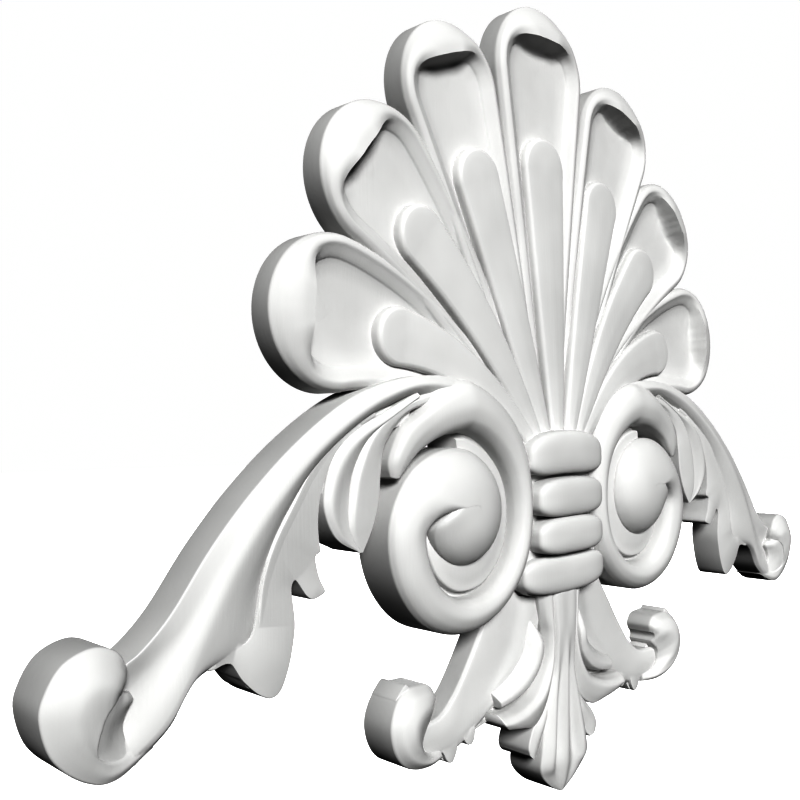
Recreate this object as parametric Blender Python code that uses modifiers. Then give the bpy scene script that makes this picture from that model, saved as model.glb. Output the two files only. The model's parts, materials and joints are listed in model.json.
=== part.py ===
"""Carved wood onlay: a seven-lobed shell over two volutes, leafy side arms and a leaf pendant.

The carving is one piece with a flat back. X runs across the face, Z runs up and the
face looks along -Y, so the back lies in the plane Y = 0. The shapes below are drawn
in units that are scaled to the driving sizes: points of the face are (x, z), and a third
number is the height above the back. The outermost point of the scrolls fixes the scale
across the face, and the volute's eye, the highest point, fixes the scale of the heights.
"""
import bpy
import bmesh
import numpy as np

# Driving sizes, in metres
WIDTH = 0.302
RELIEF_DEPTH = 0.0172

# Levels of the relief, as drawn heights above the back
SHELL_EDGE = 6.4
SHELL_FLOOR_TIP = 5.4
SHELL_FLOOR_BASE = 8.6
SHELL_RIM_TIP = 8.3
SHELL_RIM_BASE = 9.8
LIP_HEIGHT = 10.2
TONGUE_TIP = 8.0
TONGUE_BASE = 11.2
LEAF_VALLEY = 7.6
LEAF_EDGE = 9.9
LEAF_CREST = 11.0
SCROLL_EDGE = 10.4
SCROLL_CREST = 14.2
EYE_CREST = 17.2     # the highest point
CHANNEL_FLOOR = 9.0
PENDANT_EDGE = 5.8
BAND_GROUND = 10.6

# Each shell lobe: foot, bend and end centre of its spine, radius of its round end
LOBES = (
    ((0.0, -14.0), (0.0, 40.0), (0.0, 98.0), 19.5),
    ((5.5, -12.0), (20.0, 36.0), (38.0, 85.0), 18.0),
    ((9.0, -11.0), (30.0, 30.0), (64.0, 58.0), 18.5),
    ((12.0, -10.0), (42.0, 21.0), (79.0, 24.0), 18.6),
)
# Each tongue lies in a lobe: foot, bend, end centre, end radius
TONGUES = (
    ((0.0, -12.0), (0.0, 30.0), (0.0, 70.3), 9.2),
    ((4.5, -11.0), (16.0, 26.0), (28.5, 63.0), 8.5),
    ((8.0, -10.0), (26.0, 24.0), (50.5, 45.0), 8.2),
    ((11.0, -9.0), (34.0, 15.5), (59.0, 19.3), 7.6),
)
LOBE_FOOT_HALF = 4.4
TONGUE_FOOT_HALF = 2.2
LIP_CHORD = 0.565

# The volute turns about its eye: angle from the top towards the middle, outer and inner radius
VOLUTE_CENTRE = (41.0, -25.0)
VOLUTE_TURN = (
    (-35.0, 34.5, 21.0), (0.0, 34.2, 20.2), (45.0, 30.4, 19.2), (90.0, 27.0, 19.4),
    (139.0, 29.2, 21.4), (180.0, 30.8, 21.8), (226.0, 29.2, 17.4), (270.0, 25.5, 14.6),
    (303.0, 21.2, 11.5), (330.0, 18.4, 7.0), (360.0, 16.2, 3.0),
)
EYE_CENTRE = (42.0, -24.8)
EYE_RADIUS = 13.4

# The outer edge of the scroll at each end, which is the widest part of the carving
END_BULB_EDGE = (
    (134.9, -50.2), (134.2, -48), (134.4, -45.6), (136.4, -42.4), (141, -40.9), (146.6, -42.8),
    (150, -47.4), (151, -52.2), (148.6, -59.4), (142.6, -64.8), (136.4, -66.3), (130, -64.2),
)
END_BULB_HEIGHTS = (0, 0.6, 1.2, 1.4, 1.4, 1.4, 1.4, 1.4, 1.2, 0.9, 0.4, -0.2)     # above LEAF_EDGE

ACROSS = WIDTH / (2 * max(x for x, z in END_BULB_EDGE))
DEEP = RELIEF_DEPTH / EYE_CREST

SINK = 1.5              # how far each form runs past the back before the back is cut flat
SINK_STEP = 0.04        # and how much further each later form runs, so that no two ends coincide
MERGE = 0.00002         # points of one form this close are one point, in metres
CORE_HALF = 15.0        # half the side of the slab under the band, which the forms are joined to
CORE_HEIGHT = 2.0
WALL_HALF = 300.0       # half the side of the block that cuts the back flat
WALL_DEPTH = 20.0


def as_points(points):
    return np.array(points, dtype=float)


def smooth(points, steps):
    """A curve through the given points, with the same number of steps between any two."""
    p = as_points(points)
    ends = np.vstack([2 * p[0] - p[1], p, 2 * p[-1] - p[-2]])
    t = np.linspace(0.0, 1.0, steps, endpoint=False)[:, None]
    fine = []
    for i in range(len(p) - 1):
        a, b, c, d = ends[i:i + 4]
        fine.append(0.5 * (2 * b + (c - a) * t + (2 * a - 5 * b + 4 * c - d) * t**2
                           + (3 * b - a - 3 * c + d) * t**3))
    fine.append(p[-1:])
    return np.vstack(fine)


def bezier(foot, bend, tip, t):
    foot, bend, tip = as_points(foot), as_points(bend), as_points(tip)
    t = np.asarray(t, dtype=float)[:, None]
    place = (1 - t)**2 * foot + 2 * t * (1 - t) * bend + t**2 * tip
    slope = 2 * (1 - t) * (bend - foot) + 2 * t * (tip - bend)
    slope /= np.linalg.norm(slope, axis=1, keepdims=True)
    return place, slope


def new_object(name, bm, collection):
    mesh = bpy.data.meshes.new(name)
    bm.to_mesh(mesh)
    bm.free()
    obj = bpy.data.objects.new(name, mesh)
    collection.objects.link(obj)
    return obj


def relief(name, grid, forms, mirrored=True):
    """A closed form whose front is the grid of (x, z, height) and whose back is flat."""
    grid = np.asarray(grid, dtype=float)
    rows, columns = grid.shape[:2]
    bm = bmesh.new()
    verts = [[bm.verts.new((x * ACROSS, -h * DEEP, z * ACROSS)) for x, z, h in row] for row in grid]
    for i in range(rows - 1):
        for k in range(columns - 1):
            bm.faces.new((verts[i][k], verts[i + 1][k], verts[i + 1][k + 1], verts[i][k + 1]))
    bmesh.ops.remove_doubles(bm, verts=bm.verts, dist=MERGE)
    bmesh.ops.dissolve_degenerate(bm, edges=bm.edges, dist=MERGE)
    rim = [e for e in bm.edges if e.is_boundary]
    made = bmesh.ops.extrude_edge_only(bm, edges=rim)["geom"]
    back = (SINK + SINK_STEP * len(forms.objects)) * DEEP
    for v in made:
        if isinstance(v, bmesh.types.BMVert):
            v.co.y = back
    bmesh.ops.holes_fill(bm, edges=[e for e in bm.edges if e.is_boundary], sides=0)
    bmesh.ops.recalc_face_normals(bm, faces=bm.faces)
    obj = new_object(name, bm, forms)
    if mirrored:
        mirror = obj.modifiers.new("other side", "MIRROR")
        mirror.use_axis = (True, False, False)
        mirror.use_mirror_merge = False
    obj.hide_render = True
    obj.display_type = "WIRE"
    return obj


def teardrop(spine, foot_half, sides, ends, taper):
    """Stations round a teardrop from one foot over its round end to the other foot.

    Returns the outline point, the spine point and the turn of each station; the turn
    is the angle from the tip in degrees, and 100 to 200 runs down the sides.
    """
    foot, bend, tip, radius = spine
    tip = as_points(tip)
    lean = np.radians(10.0)
    way = bezier(foot, bend, tip, [1.0])[1][0]
    side = np.array([way[1], -way[0]])
    t = np.linspace(0.0, 1.0, sides, endpoint=False)
    length = np.linalg.norm(tip - as_points(foot))
    reach = 1.0 - radius * np.sin(lean) / length
    place, slope = bezier(foot, bend, tip, t * reach)
    across = np.stack([slope[:, 1], -slope[:, 0]], axis=1)
    half = foot_half + (radius * np.cos(lean) - foot_half) * t**taper
    turns = np.radians(np.linspace(100.0, -100.0, ends))
    rim = tip + radius * (np.cos(turns)[:, None] * way + np.sin(turns)[:, None] * side)
    outline = np.vstack([place + across * half[:, None], rim, (place - across * half[:, None])[::-1]])
    spine_points = np.vstack([place, np.repeat(tip[None], ends, axis=0), place[::-1]])
    down = 100.0 + 100.0 * (1 - t)
    turn = np.concatenate([down, np.degrees(turns), -down[::-1]])
    width = np.concatenate([half, np.full(ends, radius), half[::-1]])
    return outline, spine_points, turn, width


def inset_grid(outline, spine, width, insets, heights):
    """Columns at the given insets from the outline towards the spine, with their heights."""
    share = np.clip(insets / width[:, None], 0.0, 1.0)
    flat = outline[:, None, :] * (1 - share[:, :, None]) + spine[:, None, :] * share[:, :, None]
    return np.concatenate([flat, heights[:, :, None]], axis=2)


def shell_lobe(number, spine, forms):
    """A spoon: rounded rim, shallow floor and a broad lip curled over at the end."""
    outline, spine_points, turn, width = teardrop(spine, LOBE_FOOT_HALF, 6, 13, 1.08)
    radius = spine[3]
    down = np.clip((np.abs(turn) - 100.0) / 100.0, 0.0, 1.0)
    tilt = np.radians(np.minimum(np.abs(turn), 75.0))
    chord = radius * (1 - LIP_CHORD / np.cos(tilt))
    lip = np.clip((chord - 2.0) / (radius * (1 - LIP_CHORD) - 2.0), 0.0, 1.0)
    crest = np.minimum(np.maximum(chord, 2.2), 0.36 * width + lip * 99.0)
    cove = np.minimum(4.0 + 3.5 * lip, 0.4 * width)
    floor = SHELL_FLOOR_TIP + (SHELL_FLOOR_BASE - SHELL_FLOOR_TIP) * down
    rim = SHELL_RIM_TIP + (SHELL_RIM_BASE - SHELL_RIM_TIP) * down + (LIP_HEIGHT - SHELL_RIM_TIP) * lip
    edge = SHELL_EDGE + (SHELL_RIM_BASE - 1.0 - SHELL_EDGE) * down
    insets = np.stack([0 * crest, 0.35 * crest, crest, crest + cove, width], axis=1)
    heights = np.stack([edge, edge + 0.8 * (rim - edge), rim, floor, floor - 0.2], axis=1)
    grid = inset_grid(outline, spine_points, width, insets, heights)
    relief(f"shell_lobe_{number}", grid, forms, number > 0)


def tongue(number, spine, forms):
    """A proud bar with steep sides and a crowned top, in the hollow of a lobe."""
    outline, spine_points, turn, width = teardrop(spine, TONGUE_FOOT_HALF, 5, 7, 0.8)
    down = np.clip((np.abs(turn) - 100.0) / 100.0, 0.0, 1.0)
    top = TONGUE_TIP + (TONGUE_BASE - TONGUE_TIP) * down
    foot = SHELL_FLOOR_TIP - 1.0 + (SHELL_FLOOR_BASE - SHELL_FLOOR_TIP) * down
    insets = np.stack([0 * top, 0.16 * width, 0.42 * width, width], axis=1)
    heights = np.stack([foot, top - 1.0, top - 0.1, top + 0.3], axis=1)
    grid = inset_grid(outline, spine_points, width, insets, heights)
    relief(f"tongue_{number}", grid, forms, number > 0)


def shell_ground(forms):
    """Closes the creases between the lobes, short of the notches in the outline."""
    right = [(16, -10), (66, 8), (72, 37), (50, 69), (18, 90)]
    plate("shell_ground", right + [(-x, z) for x, z in reversed(right)], SHELL_FLOOR_TIP, forms, False)


def strip(name, rails, forms, steps=1, mirrored=True):
    """A form between rails of (x, z, height), whose points of the same number lie across from each other."""
    lines = [smooth(rail, steps) for rail in rails]
    relief(name, np.stack(lines, axis=1), forms, mirrored)


def plate(name, outline, height, forms, mirrored=True):
    """A flat-topped form with the given outline, extruded from a filled curve."""
    curve = bpy.data.curves.new(name, "CURVE")
    curve.dimensions = "2D"
    curve.fill_mode = "BOTH"
    back = SINK + SINK_STEP * len(forms.objects)
    curve.extrude = (height + back) / 2 * DEEP
    spline = curve.splines.new("POLY")
    spline.points.add(len(outline) - 1)
    for point, (x, z) in zip(spline.points, outline):
        point.co = (x * ACROSS, z * ACROSS, 0.0, 1.0)
    spline.use_cyclic_u = True
    drawn = bpy.data.objects.new(name + "_curve", curve)
    forms.objects.link(drawn)
    bpy.context.view_layer.update()
    depsgraph = bpy.context.evaluated_depsgraph_get()
    bm = bmesh.new()
    bm.from_mesh(bpy.data.meshes.new_from_object(drawn.evaluated_get(depsgraph)))
    bpy.data.objects.remove(drawn)
    for v in bm.verts:
        v.co = (v.co.x, v.co.z - (height - back) / 2 * DEEP, v.co.y)
    bmesh.ops.remove_doubles(bm, verts=bm.verts, dist=MERGE)
    bmesh.ops.recalc_face_normals(bm, faces=bm.faces)
    obj = new_object(name, bm, forms)
    if mirrored:
        mirror = obj.modifiers.new("other side", "MIRROR")
        mirror.use_mirror_merge = False
    obj.hide_render = True
    obj.display_type = "WIRE"
    return obj


def polar(centre, degrees, radius):
    a = np.radians(degrees)
    return np.stack([centre[0] - np.sin(a) * radius, centre[1] + np.cos(a) * radius], axis=-1)


def volute(forms):
    """The roll winds once round and swells into the eye; a low ring lies inside it."""
    turn = as_points(VOLUTE_TURN)
    angles = np.linspace(turn[0, 0], turn[-1, 0], 34)
    outer = np.interp(angles, turn[:, 0], turn[:, 1])
    inner = np.interp(angles, turn[:, 0], turn[:, 2])
    profile = ((0.0, CHANNEL_FLOOR), (0.16, 12.6), (0.5, SCROLL_CREST), (0.84, 13.0), (1.0, SCROLL_EDGE))
    rows = []
    for share, height in profile:
        radius = inner + (outer - inner) * share
        rows.append(np.column_stack([polar(VOLUTE_CENTRE, angles, radius), np.full(len(angles), height)]))
    relief("volute_roll", np.stack(rows, axis=1), forms)
    strip("volute_finger", (
        [(47.8, 3.4, 12.4), (53.9, 1, 12.6), (60.8, -3.4, 11.8), (65.6, -10.4, 10.6), (65, -14.8, 9.8)],
        [(47.4, 0.6, 14), (53.4, -1.9, 13.4), (59, -6, 12.6), (62.6, -11.2, 11.9), (63.4, -15.1, 10.6)],
        [(46.7, -4.5, 11.6), (52.2, -6.6, 11.2), (57, -9.4, 10.6), (60.8, -13.1, 10.2), (62.5, -15, 9.8)],
    ), forms)

    angles = np.linspace(4.0, 262.0, 19)
    outer = np.interp(angles, turn[:, 0], turn[:, 2]) + 0.6
    rows = []
    for radius, height in ((7.0, CHANNEL_FLOOR), (outer - 5.0, CHANNEL_FLOOR - 0.4),
                           (outer - 2.2, CHANNEL_FLOOR + 1.6), (outer, CHANNEL_FLOOR - 1.0)):
        radius = np.broadcast_to(radius, angles.shape)
        rows.append(np.column_stack([polar(VOLUTE_CENTRE, angles, radius), np.full(len(angles), height)]))
    relief("volute_ring", np.stack(rows, axis=1), forms)

    angles = np.linspace(0.0, 360.0, 21)
    rows = []
    for share, height in ((1.0, CHANNEL_FLOOR), (0.97, 12.0), (0.8, 14.8), (0.45, 16.6), (0.0, EYE_CREST)):
        circle = polar(EYE_CENTRE, angles, EYE_RADIUS * share)
        rows.append(np.column_stack([circle, np.full(len(angles), height)]))
    relief("volute_eye", np.stack(rows, axis=1), forms)


def side_arm(forms):
    """The arm leaves the shell over the volute, carries the leaf and ends in a scroll."""
    edge, crest, foot = LEAF_EDGE, LEAF_CREST, LEAF_VALLEY
    strip("arm_rib", (
        [(30, 5, edge), (42, 9.2, edge), (55, 9.7, edge), (68, 7.4, edge), (80, 2.8, edge), (93, -5.4, edge),
         (105, -15.5, edge), (115, -26, edge), (124, -37.5, edge), (130, -43.2, edge), (134, -45.6, edge),
         (136, -49, edge)],
        [(30, 3.6, crest - 0.3), (42, 7.8, crest - 0.3), (55, 8.5, crest - 0.3), (67.4, 6, crest - 0.3),
         (79, 1.2, crest - 0.3), (91.6, -6.8, crest - 0.3), (103.2, -17, crest - 0.4),
         (112.8, -28.4, crest - 0.8),
         (121, -40, edge - 0.4), (127, -47, edge - 1.3), (131.4, -51, edge - 1.5), (135, -54.4, edge - 1.4)],
        [(30, 2.2, crest), (42, 6.4, crest), (55, 7.2, crest), (66.8, 4.7, crest), (78, -0.4, crest),
         (90, -8.4, crest), (101, -18.8, crest), (109.8, -30, crest), (117, -42.4, crest - 0.2),
         (121.4, -51, crest - 0.7), (126, -57.4, crest - 1.2), (131, -61.8, edge - 0.4)],
        [(30, 0.6, crest - 0.8), (42, 4.8, crest - 0.8), (55, 5.8, crest - 0.8), (66, 3, crest - 0.9),
         (76.6, -2, crest - 1), (88, -9.8, crest - 1.1), (98.2, -20, crest - 1.2),
         (106.8, -31.4, crest - 1.4),
         (114.8, -44, crest - 1.4), (119.6, -52.4, crest - 1), (125.2, -59.4, crest - 1.3),
         (130.6, -63.6, edge - 0.6)],
        [(30, -1, foot), (42, 3, foot), (55, 4.4, foot), (65, 1.6, foot), (75.2, -3.4, foot), (86, -11, foot),
         (95.6, -21, foot), (104, -32.4, foot), (112.8, -45, foot + 0.6), (118.3, -51.6, edge - 0.5),
         (124.6, -59.6, edge - 0.5), (130, -64, edge - 0.5)],
    ), forms)
    plate("leaf_ground", [
        (40, 4), (60, 5), (80, -1), (95, -11), (108, -27), (116, -44), (116.4, -49.6), (112, -49.4),
        (107.5, -53.6), (104, -57.2), (101, -58.4), (98, -57), (95.4, -50.5), (94.8, -44),
        (95.2, -39), (94.4, -35.9), (92, -37.6), (89.5, -39.4), (86.6, -38.4), (87.4, -34), (88.2, -31.6),
        (87, -29.8), (86.6, -25), (83, -27), (75.4, -31), (71.4, -25.4), (69.6, -20), (68.8, -14.5),
        (67.6, -8), (62, -4), (50, -1)], foot - 1.2, forms)
    strip("leaf_valley", (
        [(66, 3.4, foot + 1.8), (80, -1.6, foot + 1.8), (88, -7.4, foot + 1.8), (96, -14, foot + 1.9),
         (104, -23, foot + 2), (110.4, -32, foot + 2.1), (114.8, -41, foot + 2.2), (116.9, -47.6, foot + 2.1),
         (117.4, -49.7, edge - 0.2)],
        [(65, 2, foot + 1), (78, -2.8, foot + 1), (85.8, -8.4, foot + 0.9), (93.2, -15.6, foot + 0.8),
         (100.4, -24.6, foot + 0.8), (106, -33, foot + 1), (110, -41.6, foot + 1.4), (112.2, -48, foot + 1.8),
         (113.4, -50.1, edge - 0.1)],
        [(64, 0.8, foot + 0.4), (76.4, -4, foot + 0.2), (84, -9.4, foot), (91, -17, foot), (97.6, -26, foot),
         (102.6, -34, foot + 0.4), (106, -42.4, foot + 1), (108.4, -50, foot + 1.8),
         (109.2, -52.4, edge - 0.1)],
        [(62, 0, foot), (74.6, -5, foot - 0.2), (82, -10.4, foot - 0.3), (88.6, -18, foot - 0.2),
         (94.6, -27, foot), (99.4, -35, foot + 0.4), (101.6, -43, foot + 1), (102.4, -54, foot + 1.8),
         (102.8, -58.4, edge - 0.1)],
    ), forms)
    plate("leaf_face", [
        (74, -3), (80, -6.6), (83.2, -10), (86.2, -16.4), (87.3, -22), (87.2, -27), (86.8, -29.8),
        (88.2, -30.8),
        (88.1, -32.6), (87.2, -35.8), (85.7, -38.8), (87.6, -39.9), (89.5, -40.1), (91.2, -38.9),
        (93.2, -36.2),
        (94.2, -35.4), (95, -37), (94.6, -40.6), (94.2, -44.4), (94.6, -48), (95.8, -53), (97.6, -57.2),
        (99.2, -58.9), (101, -59.2), (103.1, -58.3), (103.4, -50), (104.2, -42), (103, -33.6), (99.4, -25.6),
        (94.6, -18.6), (88, -10.8), (82, -5.6), (76, -1.8)], edge, forms)
    strip("leaf_ridge", (
        [(70, 1.4, foot), (78, -1.5, foot), (83.2, -4.6, foot), (90.2, -11.1, foot), (95.2, -18.2, foot),
         (100.2, -26, foot), (103.2, -33.2, foot + 0.6), (104.4, -40.2, foot + 1.2),
         (104.2, -47.4, edge - 0.4),
         (103.4, -54, edge - 0.2)],
        [(70, 0.8, edge), (77.6, -2.2, edge + 0.1), (82.6, -5.4, edge + 0.4), (89.3, -11.8, edge + 0.6),
         (94.2, -18.8, edge + 0.7), (99.2, -26.4, edge + 0.8), (102.2, -33.4, edge + 0.8),
         (103.5, -40.2, edge + 0.7), (103.3, -47.4, edge + 0.4), (102.8, -54, edge)],
        [(69.8, 0, edge), (76.9, -3, edge), (81.6, -6.4, edge + 0.2), (87.9, -12.8, edge + 0.3),
         (92.6, -19.6, edge + 0.4), (97.4, -27, edge + 0.4), (100.4, -33.8, edge + 0.4),
         (101.7, -40.4, edge + 0.3), (101.7, -47.4, edge + 0.1), (101.8, -54, edge - 0.2)],
        [(69.4, -1.2, edge - 0.6), (76, -4.2, edge - 0.5), (80.4, -7.8, edge - 0.4), (86, -14, edge - 0.3),
         (89.6, -20.4, edge - 0.3), (93.6, -27.6, edge - 0.3), (96.6, -34.2, edge - 0.3),
         (98.2, -40.6, edge - 0.3), (98.8, -47.4, edge - 0.3), (99.8, -54, edge - 0.4)],
    ), forms)
    strip("leaf_outer_flute", (
        [(56, 5.6, edge), (66, 1.2, edge), (76.5, -3.6, edge), (82.4, -8.5, edge), (85.4, -15.5, edge),
         (85.6, -21.5, edge), (82.2, -27.8, edge), (75.4, -31.5, edge)],
        [(56, 4.6, crest), (66, -0.6, crest), (75.2, -5.2, crest), (80.8, -10.6, crest), (83.6, -17, crest),
         (83.6, -22.5, crest - 0.2), (80.4, -27.8, crest - 0.6), (75.1, -31.5, edge)],
        [(56, 4, crest - 0.5), (65, -0.6, crest - 0.5), (73.5, -5.8, crest - 0.6), (78.6, -12, crest - 0.7),
         (80.8, -18.6, crest - 0.8), (81, -23.6, crest - 0.8), (79, -28, crest - 0.9), (75, -31.5, edge)],
        [(56, 3.4, edge - 0.4), (64, -0.5, edge - 0.4), (72, -6, edge - 0.5), (76.6, -13, edge - 0.6),
         (78, -19.5, edge - 0.5), (78.3, -24.5, edge - 0.2), (77.2, -28, edge), (74.9, -31.5, edge)],
    ), forms)
    strip("leaf_inner_flute", (
        [(50, 6, edge - 0.4), (62, 2.5, edge - 0.4), (71.7, -4, edge - 0.6), (76.5, -12.5, edge - 0.7),
         (78.1, -19.5, edge - 0.6), (78.5, -25, edge - 0.2), (77.2, -28.4, edge), (75, -31.4, edge)],
        [(50, 5.2, crest - 0.2), (62, 1.4, crest - 0.2), (70.6, -4.8, crest - 0.2), (75, -12.5, crest - 0.2),
         (76.6, -19.2, crest - 0.3), (77, -24.6, crest - 0.5), (76.2, -28, crest - 0.8), (74.8, -31.5, edge)],
        [(50, 4.4, crest - 0.3), (61, 0.6, crest - 0.3), (68.6, -5.6, crest - 0.4), (72, -12.8, crest - 0.5),
         (73.2, -19.2, crest - 0.6), (73.8, -24.6, crest - 0.7), (74.2, -28, crest - 0.9),
         (74.6, -31.5, edge)],
        [(50, 3.4, edge), (60, 0, edge), (66.6, -6.6, edge), (68.2, -13, edge), (68.9, -19.6, edge),
         (70.4, -24.6, edge), (72.2, -28.2, edge), (74.4, -31.5, edge)],
    ), forms)


def end_scroll(forms):
    """The arm's end: a fat bulb curled in over the dished tip, with a bud in the curl."""
    edge = LEAF_EDGE
    strip("end_bulb", (
        [(x, z, edge + rise) for (x, z), rise in zip(END_BULB_EDGE, END_BULB_HEIGHTS)],
        [(135.2, -50.2, edge + 0.8), (135, -48.2, edge + 2), (135.8, -46.4, edge + 2.7),
         (137.8, -44.8, edge + 3),
         (141, -44.2, edge + 3.2), (144.6, -45.6, edge + 3.2), (147.2, -49.2, edge + 3.2),
         (147.4, -53.6, edge + 3),
         (145.4, -58.4, edge + 2.6), (141.4, -62.4, edge + 2.1), (136.2, -64.4, edge + 1.2),
         (130.2, -63.4, edge + 0.3)],
        [(136, -50.4, edge + 1.8), (136.8, -49.2, edge + 3.2), (137.8, -48.4, edge + 3.9),
         (139, -47.8, edge + 4.2),
         (141, -47.6, edge + 4.3), (142.8, -48.6, edge + 4.3), (144.2, -50.6, edge + 4.2),
         (144.4, -53.2, edge + 3.9),
         (143.4, -56.6, edge + 3.4), (140.8, -60.4, edge + 2.5), (136.2, -62.8, edge + 1.2),
         (130.6, -62.4, edge)],
        [(136.6, -50.8, edge + 1.8), (137.6, -51.3, edge + 2.8), (138.7, -52.2, edge + 3.2),
         (139.7, -53.3, edge + 3.4),
         (140.4, -54.4, edge + 3.4), (141, -55.4, edge + 3.4), (141.3, -56.4, edge + 3.3),
         (141.5, -57.4, edge + 3.1),
         (141.6, -58.6, edge + 2.8), (141, -60.2, edge + 1.9), (136.4, -61.6, edge + 0.6),
         (131, -61.6, edge - 1)],
    ), forms, steps=2)
    strip("end_bud", (
        [(143, -61.6, edge), (142.6, -58, edge + 1.6), (141.4, -55, edge + 2), (139.4, -52.4, edge + 1.8),
         (136.8, -50.9, edge + 1), (134.6, -50.4, edge + 0.6), (133.2, -50.6, edge + 0.1)],
        [(140, -62, edge + 0.4), (140.4, -58.6, edge + 1.7), (139.4, -55.6, edge + 2.4),
         (137.6, -53.4, edge + 2.2),
         (135.8, -52, edge + 1.7), (134.2, -51.3, edge + 1), (132.6, -51.2, edge + 0.2)],
        [(135.6, -62.6, edge - 0.2), (136.8, -60, edge + 0.8), (136.8, -57, edge + 1.4),
         (135.8, -54.8, edge + 1.6),
         (134.6, -53.4, edge + 1.4), (133.4, -52.4, edge + 1), (132.3, -51.9, edge + 0.2)],
        [(131, -62.2, edge - 1), (133.6, -60, edge - 0.4), (134.6, -57.2, edge), (134.3, -55, edge + 0.2),
         (133.2, -54, edge + 0.2), (132.4, -53.2, edge + 0.2), (132.1, -52.4, edge)],
    ), forms)


def band(forms):
    """Four rolls bind the volutes together: pillows with flat fronts, stacked one over another.

    A roll's outline is a superellipse, and its front falls towards the edge. Each roll is
    given by its top, bottom, half width, front height and the rise of its middle.
    """
    rolls = ((-5.4, -19.2, 16.8, 15.8, 1.4), (-19.0, -30.4, 14.8, 17.0, 0.3), (-30.2, -41.3, 14.8, 16.8, 0.0),
             (-41.1, -51.8, 18.8, 14.4, -0.6))
    turn = np.radians(np.linspace(0.0, 360.0, 25))
    round_x = np.sign(np.cos(turn)) * np.abs(np.cos(turn))**0.62
    round_z = np.sign(np.sin(turn)) * np.abs(np.sin(turn))**0.62
    for number, (top, bottom, half, front, arch) in enumerate(rolls):
        middle, tall = (top + bottom) / 2, (top - bottom) / 2
        columns = []
        for share, fall in ((1.0, 3.4), (0.95, 1.5), (0.78, 0.4), (0.0, 0.0)):
            x = half * share * round_x
            z = middle + tall * share * round_z + arch * (1 - (x / half)**2)
            columns.append(np.column_stack([x, z, np.full(len(turn), front - fall)]))
        relief(f"band_roll_{number}", np.stack(columns, axis=1), forms, False)
    plate("band_ground", [(-18, -12), (-16, -4), (0, -2), (16, -4), (18, -12), (19, -44), (14, -50),
    (-14, -50),
                          (-19, -44)], BAND_GROUND, forms, False)


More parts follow.
